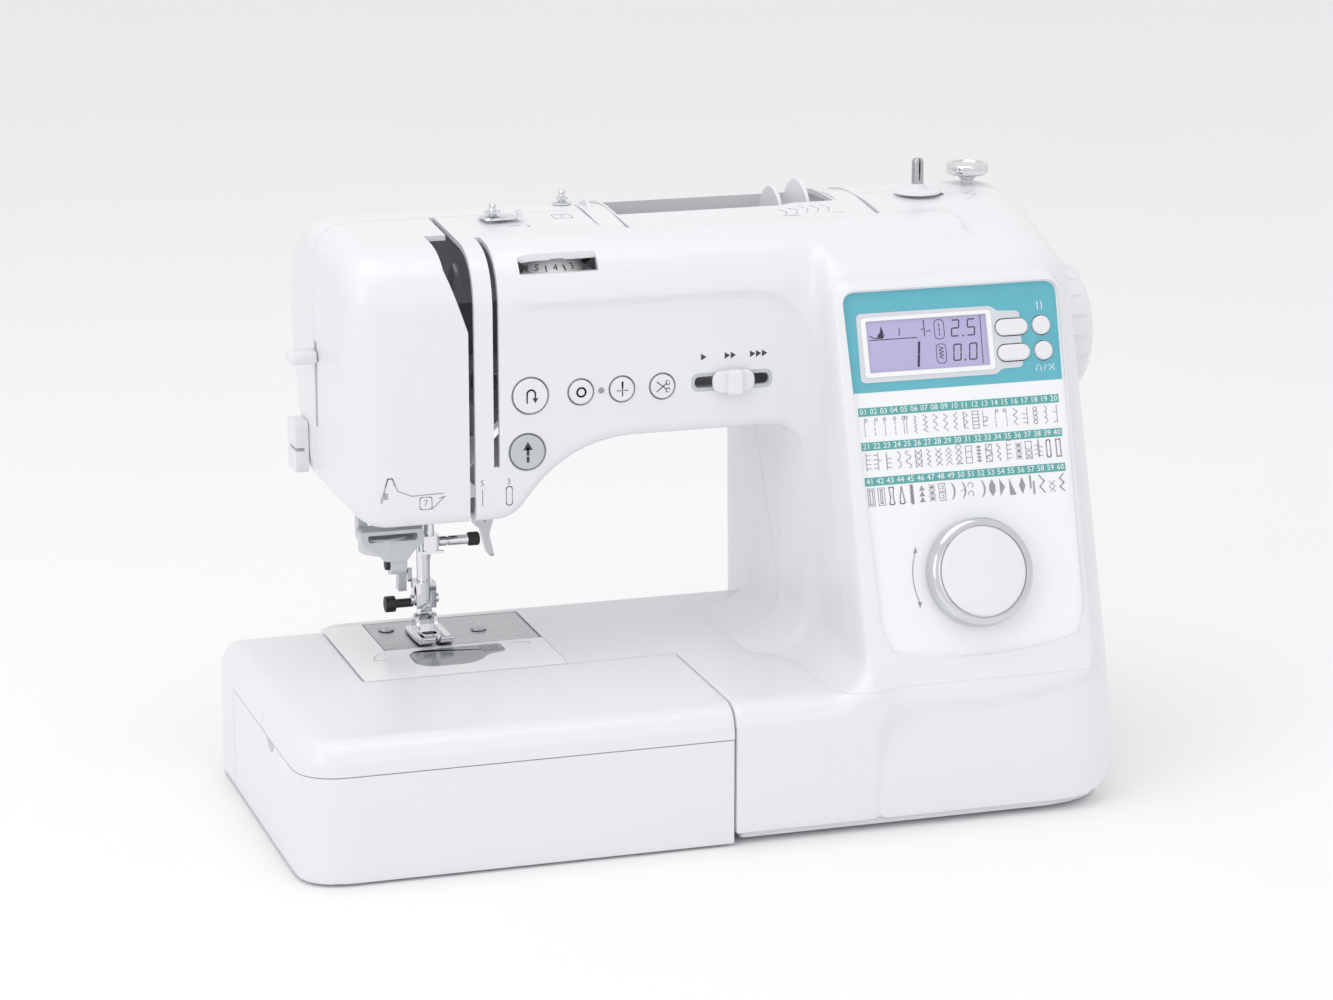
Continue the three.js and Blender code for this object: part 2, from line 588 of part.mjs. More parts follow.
function makeDrive() {
  const shaft = [
    [0, -119], [15, -119], [15, -112], [6, -112], [6, 182],
    [BELT_WHEEL_R, 182], [BELT_WHEEL_R, 196], [6, 196], [6, 209], [0, 209],
  ];
  piece("main_shaft", turned("x", [SHAFT_Y, SHAFT_Z], shaft, 16), STEEL);

  const wheel = [
    [0, 209.4], [12, 209.4], [12, 208.6], [34, 208.6], [36.5, 213], [36.5, 229],
    [34, 235], [24, 238.6], [10, WHEEL_FACE], [0, WHEEL_FACE],
  ];
  piece("handwheel", turned("x", [SHAFT_Y, SHAFT_Z], wheel, 24), WHITE);

  const motorY = -18;
  const motorZ = 116;
  const motorBody = rod("x", 29, [96, 176], [motorY, motorZ], 20);
  const motorPulley = rod("x", MOTOR_WHEEL_R, [170, 197], [motorY, motorZ]);
  piece("motor", join(motorBody, motorPulley), CAST);

  // The belt's loop is the outline of its two pulleys' common tangents.
  const loop = (growth, from, to) => {
    const big = new THREE.Vector2(SHAFT_Y, SHAFT_Z);
    const small = new THREE.Vector2(motorY, motorZ);
    const line = small.clone().sub(big);
    const spread = Math.acos((BELT_WHEEL_R - MOTOR_WHEEL_R) / line.length());
    const path = new THREE.Shape();
    const start = line.angle() + spread;
    const end = line.angle() - spread;
    path.absarc(big.x, big.y, BELT_WHEEL_R + growth, start, end + 2 * Math.PI, false);
    path.absarc(small.x, small.y, MOTOR_WHEEL_R + growth, end, start, false);
    return prism("x", path, from, to, 9);
  };
  piece("drive_belt", cut(loop(2, 184, 194), loop(0.4, 180, 200)), RUBBER);

  const beam = box([-108, 176], [62, 82], [206, 250]);
  const bracket = box([-108, -96], [28, 64], [204, 214]);
  const column = box([112, 150], [20, 84], [22, 214]);
  const bedBeam = box([-170, 116], [64, 80], [34, 54]);
  const hookArm = box([-160, -108], [0, 66], [34, 43]);
  const foot = box([70, 190], [20, 96], [14, 24]);
  piece("machine_frame", join(beam, bracket, column, bedBeam, hookArm, foot), CAST);
}

function makeElectrics() {
  const face = TOWER_RIGHT;
  const block = ([x0, x1], halfY, halfZ) =>
    box([x0, x1], [INLET.y - halfY, INLET.y + halfY], [INLET.z - halfZ, INLET.z + halfZ]);
  const body = block([face - 18, face + 0.8], 12.5, 9.5);
  const socket = block([face - 14, face + 2], 9, 6);
  const pins = [-4.5, 4.5].map((side) =>
    rod("x", 1.2, [face - 15, face - 3], [INLET.y + side, INLET.z], 8),
  );
  piece("power_inlet", join(cut(body, socket), ...pins), BLACK);

  const rocker = roundedShape([
    [face - 7, SWITCH.z - 7, 1],
    [face + 0.5, SWITCH.z - 9.5, 1],
    [face + 3, SWITCH.z + 9, 1],
    [face - 7, SWITCH.z + 7, 1],
  ]);
  piece("power_switch", prism("y", rocker, SWITCH.y - 6, SWITCH.y + 6), BLACK);
}

// ---------------------------------------------------------------- controls on the arm
function buttonGeometry(radius, proud, depth) {
  const dome = 0.4;
  const profile = [
    [0, -depth], [radius, -depth], [radius, proud - dome], [radius - dome, proud], [0, proud],
  ];
  return new THREE.LatheGeometry(profile.map(([r, h]) => new THREE.Vector2(r, h)), 20);
}

function makeArmControls() {
  const place = (name, [x, z], radius, material, proud = 1.4) => {
    const mesh = piece(name, buttonGeometry(radius, proud, 5), material);
    mesh.position.set(x, ARM_FRONT, z);
    mesh.rotation.z = Math.PI;
  };
  place("reverse_button", REVERSE_BUTTON, BIG_BUTTON_R, COOL_WHITE);
  place("start_button", START_BUTTON, BIG_BUTTON_R, LIGHT_GREY);
  for (const [name, centre] of Object.entries(SMALL_BUTTONS)) {
    place(name, centre, SMALL_BUTTON_R, COOL_WHITE);
  }

  const { rest, z } = SLIDER;
  const stem = box([rest - 4, rest + 4], [ARM_FRONT - 1, ARM_FRONT + 6], [z - 2.4, z + 2.4]);
  const knobFace = rectangle(rest - 11.5, rest + 11.5, z - 6, z + 6, 5);
  const knob = prism("y", knobFace, ARM_FRONT - 4, ARM_FRONT - GAP);
  const ridge = box([rest - 3, rest + 3], [ARM_FRONT - 8, ARM_FRONT - 3], [z - 7, z + 7]);
  piece("speed_slider", join(stem, knob, ridge), COOL_WHITE);

  const { x, y, z: wheelZ, r } = DIAL_WHEEL;
  const wheel = [
    [0, wheelZ - 3.6],
    [r, wheelZ - 3.6],
    [r, wheelZ + 3],
    [r - 3, wheelZ + 3.6],
    [0, wheelZ + 3.6],
  ];
  piece("tension_dial", turned("z", [x, y], wheel, 32), COOL_WHITE);
}

// ---------------------------------------------------------------- control panel
function makePanel() {
  const { left, right, low, high, depth } = PANEL;
  const plate = prism("z", rectangle(left, right, low, high, 7.5), -depth, 0, 3);
  const holes = [rod("z", 9, [-9, 9], [DIAL.x, DIAL.y], 20)];
  const display = DISPLAY_BOX;
  holes.push(box([display.left, display.right], [display.low, display.high], [-9, 9]));
  for (const [name, [x, y, w, h]] of Object.entries(KEYS)) {
    const outline = (grow) =>
      rectangle(x - w / 2 - grow, x + w / 2 + grow, y - h / 2 - grow, y + h / 2 + grow, h / 2);
    holes.push(prism("z", outline(0.35), -9, 9, 3));
    piece(name, geometryOf(prism("z", outline(0), -4.5, 1.6, 3)), COOL_WHITE, panelFrame);
  }
  // The circuit board hangs behind the panel on four posts.
  const board = prism("z", rectangle(left + 8, right - 8, 92, 202, 2), -14, -12.4, 2);
  const posts = [];
  for (const px of [left + 12, right - 12]) {
    for (const py of [96, 200]) posts.push(rod("z", 2.5, [-13, -depth + 0.5], [px, py], 8));
  }
  piece("control_panel", geometryOf(join(cut(plate, ...holes), board, ...posts)), TEAL, panelFrame);

  const screen = prism(
    "z",
    rectangle(display.left + GAP, display.right - GAP, display.low + GAP, display.high - GAP, 2),
    -4.5,
    0.4,
    2,
  );
  piece("display", geometryOf(screen), DISPLAY, panelFrame);

  const dial = [
    [0, -6], [7, -6], [7, 0.6], [28, 0.6], [28.5, 1.6], [28.5, 8], [26.5, 10.5], [24, 11.2], [0, 11.6],
  ];
  piece("selection_dial", geometryOf(turned("z", [DIAL.x, DIAL.y], dial, 28)), CHROME, panelFrame);
}

// ---------------------------------------------------------------- top of the machine
function makeTop() {
  const [x, y] = WINDER;
  const winder = [
    [0, 296], [4, 296], [4, 304.7], [13, 304.7], [13, 306.6],
    [4.2, 307.4], [3.4, 308.4], [3.2, 322], [2.2, 324], [0, 324],
  ];
  piece("winder_shaft", turned("z", [x, y], winder, 16), LIGHT_GREY);

  const stop = [
    [0, 298], [3.2, 298], [3.2, 309], [11.5, 309],
    [11.8, 310], [11.8, 314.4], [10.5, 315.4], [0, 315.4],
  ];
  piece("winder_stop", turned("z", WINDER_STOP, stop, 20), CHROME);

  const arms = HANDLE_ARMS.map((ax) =>
    prism("x", handleSide(0), ax - HANDLE_ARM_W / 2, ax + HANDLE_ARM_W / 2),
  );
  const grip = common(
    prism("x", handleSide(0), HANDLE_ARMS[0], HANDLE_ARMS[1]),
    box([-100, 200], [93, BACK], [250, 320]),
  );
  piece("carrying_handle", join(...arms, grip), WHITE);

  const { left, right } = SPOOL_WELL;
  const base = rod("x", 8, [right - 5, right - 0.4], [SPOOL_Y, SPOOL_Z]);
  const pin = rod("x", 2.7, [left + 10, right - 4], [SPOOL_Y, SPOOL_Z], 12);
  piece("spool_pin", join(base, pin), COOL_WHITE);
  const cap = [
    [3.1, 67], [18.8, 67], [18.8, 69.2], [7, 69.6],
    [7, 81.4], [22, 81.8], [22, 84], [3.1, 84], [3.1, 67],
  ];
  piece("spool_cap", turned("x", [SPOOL_Y, SPOOL_Z], cap, 20), COOL_WHITE);

  // A sprung guide disc on a bent bracket, with a small thread hook on top.
  const discs = [
    [0, 303.6], [8.5, 303.6], [8.5, 305], [5.5, 305.6],
    [5.5, 308], [2, 308.6], [1.5, 312.4], [0, 312.6],
  ];
  const bracket = box([-88, -80], [28, 46], [303.6, 305]);
  const hook = box([-90, -80], [30, 34], [304.2, 305.2]);
  piece("pretension_guide", join(turned("z", [-95, 38], discs), bracket, hook), CHROME);
}

// ---------------------------------------------------------------- flat-bed attachment
const ATTACH = {
  rightX: SEAM_X,
  armFront: ARM_NEAR - GAP,
  armLeft: ARM_LEFT - 2 * GAP,
  back: 84,
  low: 1.4,
};
const LID_TOP = 57.2;
const LID_BACK = 40;

const attachmentPlan = (inset, depth = 0) =>
  roundedShape([
    [LEFT + inset, FRONT + inset, 24 - inset],
    [ATTACH.rightX - depth, FRONT + inset],
    [ATTACH.rightX - depth, ATTACH.armFront - depth],
    [ATTACH.armLeft - depth, ATTACH.armFront - depth],
    [ATTACH.armLeft - depth, ATTACH.back - depth],
    [LEFT + inset, ATTACH.back - depth, 14 - inset],
  ]);

function makeAttachment() {
  const skin = 2.6;
  const outer = prism("z", attachmentPlan(0), ATTACH.low, BED_TOP, 6);
  const hollow = prism("z", attachmentPlan(skin + GAP, skin), ATTACH.low + 3, BED_TOP - skin, 6);
  // Below its top seam the lid wraps round the front and the left side.
  const lidRoom = box([LEFT - 1, ATTACH.rightX + 1], [FRONT - 1, LID_BACK], [-1, LID_TOP]);
  const lidBand = cut(lidRoom, prism("z", attachmentPlan(skin + GAP), -2, 90, 6));
  piece("attachment", cut(outer, hollow, lidBand), WHITE);

  const lidBlock = box(
    [LEFT - 1, ATTACH.rightX - 1.1],
    [FRONT - 1, LID_BACK - GAP],
    [ATTACH.low, LID_TOP - GAP],
  );
  const lid = cut(common(outer, lidBlock), prism("z", attachmentPlan(skin), -2, 90, 6));
  const fingerNotch = rod("x", 9, [LEFT - 3, LEFT + 6], [-52, LID_TOP + 4], 16);
  piece("compartment_lid", cut(lid, fingerNotch), WHITE);
}

// ---------------------------------------------------------------- assembly
makeCasings();
makeBed();
makeBase();
makeStitchPlate();
makeNeedleSide();
makeThreader();
makeTakeUp();
makeDrive();
makeElectrics();
makeArmControls();
makePanel();
makeTop();
makeAttachment();

export default machine;
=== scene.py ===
import json
import math

import bmesh
import bpy
import numpy as np
import openvdb
from mathutils import Matrix, Vector


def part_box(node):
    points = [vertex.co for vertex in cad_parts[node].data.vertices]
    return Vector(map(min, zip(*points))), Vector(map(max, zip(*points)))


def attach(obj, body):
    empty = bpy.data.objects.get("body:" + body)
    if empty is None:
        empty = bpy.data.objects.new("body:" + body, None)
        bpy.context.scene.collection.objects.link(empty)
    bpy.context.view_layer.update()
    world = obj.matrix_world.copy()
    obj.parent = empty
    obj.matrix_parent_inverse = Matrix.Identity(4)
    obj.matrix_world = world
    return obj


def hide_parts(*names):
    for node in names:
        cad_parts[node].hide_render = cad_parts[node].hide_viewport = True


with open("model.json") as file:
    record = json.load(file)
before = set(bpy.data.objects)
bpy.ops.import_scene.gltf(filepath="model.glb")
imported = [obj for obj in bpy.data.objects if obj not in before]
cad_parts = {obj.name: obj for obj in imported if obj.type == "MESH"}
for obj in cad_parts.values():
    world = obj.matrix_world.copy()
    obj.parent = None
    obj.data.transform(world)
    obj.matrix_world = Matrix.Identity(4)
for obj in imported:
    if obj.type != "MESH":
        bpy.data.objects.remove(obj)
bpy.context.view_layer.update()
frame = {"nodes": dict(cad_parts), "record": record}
MM = 0.001


def node_box(node):
    """A CAD node's lowest and highest corner, in millimetres."""
    low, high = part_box(node)
    return np.array(low) / MM, np.array(high) / MM


def middle_of(node):
    """The middle of a CAD node's box, in millimetres."""
    low, high = node_box(node)
    return (low + high) / 2


# ------------------------------------------------ driving dimensions, from the frame
rear_low, rear_high = node_box("rear_casing")
face_low, face_high = node_box("face_cover")
front_low, _ = node_box("front_casing")
bed_low, bed_high = node_box("bed_casing")
attachment_low, attachment_high = node_box("attachment")

HEAD_LEFT = rear_low[0]
RIGHT, BACK, RIDGE_Z = rear_high
SPLIT_Y = face_high[1]
ARM_FRONT = face_low[1]
HEAD_BOTTOM = face_low[2]
WINDOW_RIGHT = front_low[0]
FACE_RIGHT = face_high[0]
FRONT = bed_low[1]
BED_TOP = bed_high[2]
BED_BACK = bed_high[1]
BED_LOW = bed_low[2]
ARM_LEFT = bed_low[0]
SEAM_X = attachment_high[0]

RIDGE_Y = 55
ARM_BOTTOM = 197
THROAT_RIGHT = 57
TOWER_LEFT = 62
CREASE_Z = 268
CREASE_PROUD = 2.2
FREE_ARM_NEAR = -22.8
FREE_ARM_FAR = 88
FREE_ARM_UNDER = 28
SHOULDER_TOP = 64
WALL = 2.8

PANEL_FOOT_Y = -115
PANEL_FOOT_Z = 72
PANEL_TILT = math.radians(18)
SLOPE = math.tan(PANEL_TILT)

HANDLE_Y, HANDLE_Z = 11, 295
HANDLE_ARMS = (-36, 104)
HANDLE_HALF = 6.5
SPOOL_Y, SPOOL_Z = 60, 290
SLIDER_Z = 223.5
SLIDER_REST_X = 15.5
GUIDE_SEAT_Z = 303.8
WINDER = (144.0, 37.0)
WINDER_STOP = (183, 62)
DIAL = (128.5, 58)
NEEDLE_X, NEEDLE_Y = -131, 44
PRESSER_Y = 57
CLAMP_SCREW_Z = 128.5
FOOT_PIN = (54, 84.2)


# ------------------------------------------------ materials
def socket(shader, name, value):
    shader.inputs[name].default_value = value


def procedural(name, color, roughness, metallic=0.0, tone=0.03, grain=60, stretch=(1, 1, 1),
               rough_spread=0.05, bump=0.012, bump_grain=2600, **extra):
    """A shader whose colour, roughness and surface vary a little over the piece."""
    material = bpy.data.materials.new(name)
    material.use_nodes = True
    nodes, links = material.node_tree.nodes, material.node_tree.links
    shader = nodes["Principled BSDF"]
    place = nodes.new("ShaderNodeTexCoord")
    mapping = nodes.new("ShaderNodeMapping")
    mapping.inputs["Scale"].default_value = stretch
    links.new(place.outputs["Object"], mapping.inputs["Vector"])

    def noise(scale, detail):
        node = nodes.new("ShaderNodeTexNoise")
        node.inputs["Scale"].default_value = scale
        node.inputs["Detail"].default_value = detail
        links.new(mapping.outputs["Vector"], node.inputs["Vector"])
        return node.outputs["Fac"]

    ramp = nodes.new("ShaderNodeValToRGB")
    ramp.color_ramp.elements[0].position = 0.3
    ramp.color_ramp.elements[1].position = 0.7
    ramp.color_ramp.elements[0].color = [c * (1 - tone) for c in color] + [1]
    ramp.color_ramp.elements[1].color = [min(1, c * (1 + tone / 3)) for c in color] + [1]
    links.new(noise(grain, 3), ramp.inputs["Fac"])
    links.new(ramp.outputs["Color"], shader.inputs["Base Color"])

    span = nodes.new("ShaderNodeMapRange")
    span.inputs["To Min"].default_value = max(0.02, roughness - rough_spread)
    span.inputs["To Max"].default_value = roughness + rough_spread
    links.new(noise(grain * 4, 4), span.inputs["Value"])
    links.new(span.outputs["Result"], shader.inputs["Roughness"])

    height = nodes.new("ShaderNodeBump")
    height.inputs["Strength"].default_value = bump
    height.inputs["Distance"].default_value = 0.0002
    links.new(noise(bump_grain, 2), height.inputs["Height"])
    links.new(height.outputs["Normal"], shader.inputs["Normal"])

    socket(shader, "Metallic", metallic)
    for key, value in extra.items():
        socket(shader, key.replace("_", " "), value)
    return material


WHITE = procedural("gloss_white", (0.80, 0.805, 0.83), 0.3, tone=0.006, rough_spread=0.012,
                   bump=0.015, bump_grain=300, Coat_Weight=0.25, Coat_Roughness=0.22)
WHITE_TRIM = procedural("satin_white", (0.80, 0.805, 0.835), 0.38, tone=0.015, bump=0.02,
                        bump_grain=400)
PRINT_WHITE = procedural("panel_white", (0.88, 0.885, 0.905), 0.22, tone=0.01, bump=0.02)
GREY = procedural("light_grey_plastic", (0.64, 0.66, 0.69), 0.42, tone=0.04, bump=0.08)
BUTTON_GREY = procedural("button_grey", (0.53, 0.56, 0.58), 0.4, tone=0.03, bump=0.06)
TEAL = procedural("teal_print", (0.115, 0.45, 0.55), 0.3, tone=0.03, bump=0.03)
BAR_TEAL = procedural("chart_teal", (0.10, 0.39, 0.38), 0.35, tone=0.03, bump=0.03)
BEZEL = procedural("display_bezel", (0.66, 0.68, 0.73), 0.35, tone=0.02, bump=0.04)
LCD = procedural("liquid_crystal", (0.44, 0.41, 0.66), 0.16, tone=0.05, grain=25, bump=0.02,
                 Coat_Weight=0.6, Coat_Roughness=0.05)
SEGMENT = procedural("display_segment", (0.035, 0.03, 0.06), 0.3, tone=0.1, bump=0.02)
INK = procedural("printed_ink", (0.045, 0.045, 0.05), 0.5, tone=0.1, bump=0.05)
INK_WHITE = procedural("white_ink", (0.86, 0.88, 0.88), 0.45, tone=0.03, bump=0.05)
INK_GREY = procedural("grey_ink", (0.32, 0.33, 0.35), 0.5, tone=0.06, bump=0.05)
BLACK = procedural("black_plastic", (0.018, 0.018, 0.02), 0.45, tone=0.2, bump=0.12)
RUBBER = procedural("rubber", (0.03, 0.03, 0.032), 0.8, tone=0.2, bump=0.3, bump_grain=900)
CHROME = procedural("chrome", (0.78, 0.79, 0.81), 0.09, 1.0, tone=0.04, rough_spread=0.05,
                    bump=0.02)
STEEL = procedural("ground_steel", (0.50, 0.51, 0.53), 0.3, 1.0, tone=0.12, grain=40,
                   stretch=(1, 14, 1), rough_spread=0.1, bump=0.06, bump_grain=500)
SATIN_RING = procedural("turned_ring", (0.70, 0.71, 0.74), 0.2, 1.0, tone=0.08, bump=0.03)
CAST = procedural("cast_metal", (0.34, 0.35, 0.37), 0.55, 0.9, tone=0.15, grain=90, bump=0.4,
                  bump_grain=700)
CLEAR = procedural("clear_smoke", (0.62, 0.65, 0.68), 0.08, tone=0.03, bump=0.02,
                   Transmission_Weight=0.62, IOR=1.45)
# Painted shade: this dark colour rings each arm button in place of the shade in the gap round it.
SEAM_SHADE = procedural("seam_shadow", (0.30, 0.31, 0.34), 0.6, tone=0.05, bump=0.05)

SLOT_MATERIALS = {
    "white_casing": WHITE,
    "cool_white_trim": WHITE_TRIM,
    "light_grey_plastic": GREY,
    "teal_panel": PRINT_WHITE,
    "display_window": LCD,
    "black_plastic": BLACK,
    "rubber": RUBBER,
    "chrome": CHROME,
    "steel": STEEL,
    "cast_metal": CAST,
    "belt_rubber": RUBBER,
    "clear_plastic": CLEAR,
}

slot_of = {row["node"]: row["material_slot"] for row in frame["record"]["subparts"]}
body_of = {
    member: body
    for body, members in frame["record"]["behaviour"]["bodies"].items()
    for member in members
}


# ------------------------------------------------ outlines
def rounded(corners, steps=8):
    """An outline through corners (a, b, radius) as points, each radius a smooth curve."""
    corners = [tuple(c) + (0,) * (3 - len(c)) for c in corners]
    points = []
    for i, (a, b, radius) in enumerate(corners):
        corner = np.array([a, b], float)
        if radius <= 0:
            points.append(corner)
            continue
        before = np.array(corners[i - 1][:2], float) - corner
        after = np.array(corners[(i + 1) % len(corners)][:2], float) - corner
        start = corner + before * radius / np.linalg.norm(before)
        end = corner + after * radius / np.linalg.norm(after)
        for t in np.linspace(0, 1, steps + 1):
            points.append((1 - t) ** 2 * start + 2 * t * (1 - t) * corner + t * t * end)
    return np.array(points)


def rectangle(a0, a1, b0, b1, radius=0, steps=8):
    return rounded([(a0, b0, radius), (a1, b0, radius), (a1, b1, radius), (a0, b1, radius)], steps)


def circle(a, b, radius, count=48):
    turn = np.arange(count) * 2 * math.pi / count
    return np.column_stack([a + radius * np.cos(turn), b + radius * np.sin(turn)])


def pill(a, b, width, height, grow=0.0, steps=16):
    """A round-ended outline about (a, b); a circle when it is as wide as it is high."""
    radius = height / 2 + grow
    reach = max(0, width / 2 - height / 2)
    turn = np.radians(np.linspace(-90, 90, steps))
    right = np.column_stack([a + reach + radius * np.cos(turn), b + radius * np.sin(turn)])
    left = np.column_stack([a - reach - radius * np.cos(turn), b - radius * np.sin(turn)])
    return np.vstack([right, left]) if reach else np.vstack([right, left[1:-1]])


# ------------------------------------------------ meshes
def to_object(name, points, faces, to_metres=True):
    mesh = bpy.data.meshes.new(name)
    scale = MM if to_metres else 1
    mesh.from_pydata([tuple(p * scale) for p in np.asarray(points, float)], [], faces)
    mesh.update()
    piece = bpy.data.objects.new(name, mesh)
    bpy.context.scene.collection.objects.link(piece)
    return piece


PLACED = {
    "x": lambda a, b, d: (d, a, b),
    "y": lambda a, b, d: (a, d, b),
    "z": lambda a, b, d: (a, b, d),
}


def facing_out(piece):
    """Turns all the faces outwards, by the sign of the closed volume."""
    mesh = piece.data
    mesh.calc_loop_triangles()
    corners = np.array([[mesh.vertices[v].co for v in t.vertices] for t in mesh.loop_triangles])
    volume = np.einsum("ij,ij->i", corners[:, 0], np.cross(corners[:, 1], corners[:, 2])).sum()
    if volume < 0:
        mesh.flip_normals()
    return piece


def prism(name, axis, outline, start, end):
    """A closed prism of an outline between two stations along an axis."""
    count = len(outline)
    points = [PLACED[axis](a, b, d) for d in (start, end) for a, b in outline]
    faces = [tuple(range(count)), tuple(range(2 * count - 1, count - 1, -1))]
    faces += [(i, i + count, (i + 1) % count + count, (i + 1) % count) for i in range(count)]
    return facing_out(to_object(name, points, faces))


def block(name, xs, ys, zs):
    return prism(name, "z", rectangle(*xs, *ys), *zs)


def lathe(name, axis, centre, profile, segments=64):
    """A body of revolution from (radius, station) pairs: solid from the axis, or else a ring."""
    rings = [(r, s) for r, s in profile if r > 0]
    turn = np.arange(segments) * 2 * math.pi / segments
    points = []
    for radius, station in rings:
        for t in turn:
            a = centre[0] + radius * math.cos(t)
            b = centre[1] + radius * math.sin(t)
            points.append(PLACED[axis](a, b, station))
    faces = []
    for ring in range(len(rings) - 1):
        for i in range(segments):
            j = (i + 1) % segments
            low, high = ring * segments, (ring + 1) * segments
            faces.append((low + i, low + j, high + j, high + i))
    last = (len(rings) - 1) * segments
    if profile[0][0] == 0:
        faces.append(tuple(range(segments - 1, -1, -1)))
        faces.append(tuple(range(last, last + segments)))
    else:
        for i in range(segments):
            j = (i + 1) % segments
            faces.append((last + i, last + j, j, i))
    return facing_out(to_object(name, points, faces))


def settle(piece):
    """Applies the piece's modifiers to its mesh."""
    graph = bpy.context.evaluated_depsgraph_get()
    mesh = bpy.data.meshes.new_from_object(piece.evaluated_get(graph))
    piece.modifiers.clear()
    piece.data = mesh
    return piece


def boolean(piece, operation, cutters):
    for cutter in cutters:
        step = piece.modifiers.new("step", "BOOLEAN")
        step.operation = operation
        step.solver = "MANIFOLD"
        step.object = cutter
    settle(piece)
    for cutter in cutters:
        bpy.data.objects.remove(cutter)
    return piece


def cut(piece, *cutters):
    return boolean(piece, "DIFFERENCE", cutters)


def join(piece, *others):
    return boolean(piece, "UNION", others)


def keep(piece, *regions):
    return boolean(piece, "INTERSECT", regions)


def copy_of(piece, name):
    twin = bpy.data.objects.new(name, piece.data.copy())
    bpy.context.scene.collection.objects.link(twin)
    return twin


def smooth(piece, angle=32):
    """Smooth shading with sharp edges past the angle, where neither face is a sliver."""
    mesh = piece.data
    mesh.shade_smooth()
    shape = bmesh.new()
    shape.from_mesh(mesh)
    bmesh.ops.remove_doubles(shape, verts=shape.verts, dist=2e-6)

    def thickness(face):
        return 2 * face.calc_area() / max(edge.calc_length() for edge in face.edges)

    limit = math.radians(angle)
    for edge in shape.edges:
        turned = len(edge.link_faces) == 2 and edge.calc_face_angle(0) > limit
        edge.smooth = not (turned and min(map(thickness, edge.link_faces)) > 2e-5)
    shape.to_mesh(mesh)
    shape.free()
    step = piece.modifiers.new("normals", "WEIGHTED_NORMAL")
    step.keep_sharp = True
    return settle(piece)


def bevel(piece, width, segments=3, angle=35):
    """Rounds the piece's edges by width millimetres."""
    step = piece.modifiers.new("bevel", "BEVEL")
    step.width = width * MM
    step.segments = segments
    step.limit_method = "ANGLE"
    step.angle_limit = math.radians(angle)
    step.use_clamp_overlap = True
    return smooth(settle(piece), angle)


def finish_piece(piece, node, material=None, replaces=True):
    """Gives a piece its material and the body it rides on, and hides the node it stands for."""
    piece.data.materials.clear()
    piece.data.materials.append(material or SLOT_MATERIALS[slot_of[node]])
    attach(piece, body_of[node])
    if replaces:
        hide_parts(node)
    return piece


def add_piece(piece, node, material=None):
    """Finishes one more piece of a node whose main piece stands for it."""
    return finish_piece(piece, node, material, replaces=False)


# ------------------------------------------------ distance fields
def outline_field(points, a, b):
    """Signed distance, negative inside, from a grid over two axes to a closed outline."""
    a, b = a[:, None], b[None, :]
    nearest = np.full(np.broadcast_shapes(a.shape, b.shape), 1e9)
    inside = np.zeros(nearest.shape, bool)
    for (a0, b0), (a1, b1) in zip(points, np.roll(points, -1, axis=0)):
        along, across = a1 - a0, b1 - b0
        length2 = along * along + across * across
        if length2 == 0:
            continue
        t = np.clip(((a - a0) * along + (b - b0) * across) / length2, 0, 1)
        nearest = np.minimum(nearest, (a - a0 - t * along) ** 2 + (b - b0 - t * across) ** 2)
        if b0 != b1:
            crossing = a0 + (b - b0) * along / across
            inside ^= ((b0 > b) != (b1 > b)) & (a < crossing)
    return np.where(inside, -1, 1) * np.sqrt(nearest)


def soft_max(a, b, k):
    blend = np.maximum(k - np.abs(a - b), 0) / k
    return np.maximum(a, b) + blend * blend * k / 4


def soft_min(a, b, k):
    return -soft_max(-a, -b, k)


def fade(value, start, end):
    """1 before start, 0 after end, straight between."""
    return np.clip((end - value) / (end - start), 0, 1)


class Grid:
    """A box of sample points, a step apart."""

    def __init__(self, low, high, step):
        self.low, self.step = np.array(low, float), step
        counts = [int(math.ceil((h - l) / step)) + 1 for l, h in zip(low, high)]
        self.x, self.y, self.z = (l + step * np.arange(n) for l, n in zip(low, counts))

    def along(self, axis):
        shape = [1, 1, 1]
        shape["xyz".index(axis)] = -1
        return getattr(self, axis).reshape(shape)

    def extruded(self, axis, points):
        """The field of an outline drawn across the two other axes."""
        first, second = {"x": "yz", "y": "xz", "z": "xy"}[axis]
        field = outline_field(points, getattr(self, first), getattr(self, second))
        return np.expand_dims(field, "xyz".index(axis))

    def surface(self, name, field, level=0.0):
        volume = openvdb.FloatGrid(100.0)
        volume.copyFromArray(np.ascontiguousarray(field, np.float32))
        points, triangles, quads = volume.convertToPolygons(isovalue=level, adaptivity=0.0)
        faces = [tuple(map(int, f)) for f in list(triangles) + list(quads)]
        return facing_out(to_object(name, points * self.step + self.low, faces))


# ------------------------------------------------ the casing's body
def slope_y(z):
    return PANEL_FOOT_Y + (z - PANEL_FOOT_Z) * SLOPE


def panel_axes(grid):
    """Each sample's place up the control panel's slope and its height above it."""
    y, z = grid.along("y") - PANEL_FOOT_Y, grid.along("z") - PANEL_FOOT_Z
    up = y * math.sin(PANEL_TILT) + z * math.cos(PANEL_TILT)
    out = z * math.sin(PANEL_TILT) - y * math.cos(PANEL_TILT)
    return up, out


def bottom_arc(left, right, low_left, low_right, sag, steps=24):
    """The panel's curved lower edge, from right to left."""
    t = np.linspace(0, 1, steps)
    across = right + (left - right) * t
    height = low_right + (low_left - low_right) * t - sag * 4 * t * (1 - t)
    return list(zip(across, height))


FRAME_OUTLINE = rounded(
    [(63.2, 212.5, 13), (192, 213.5, 13), (190.4, 8, 8)]
    + bottom_arc(66, 187, -1.5, -0.5, 9)
    + [(62.6, 7, 8)]
)
PANEL_OUTLINE = rounded(
    [(67.8, 209.2, 8), (189.2, 209.2, 8), (186.6, 33, 7)]
    + bottom_arc(77, 181.5, 20, 21.5, 6.2)
    + [(71.6, 32, 7)]
)


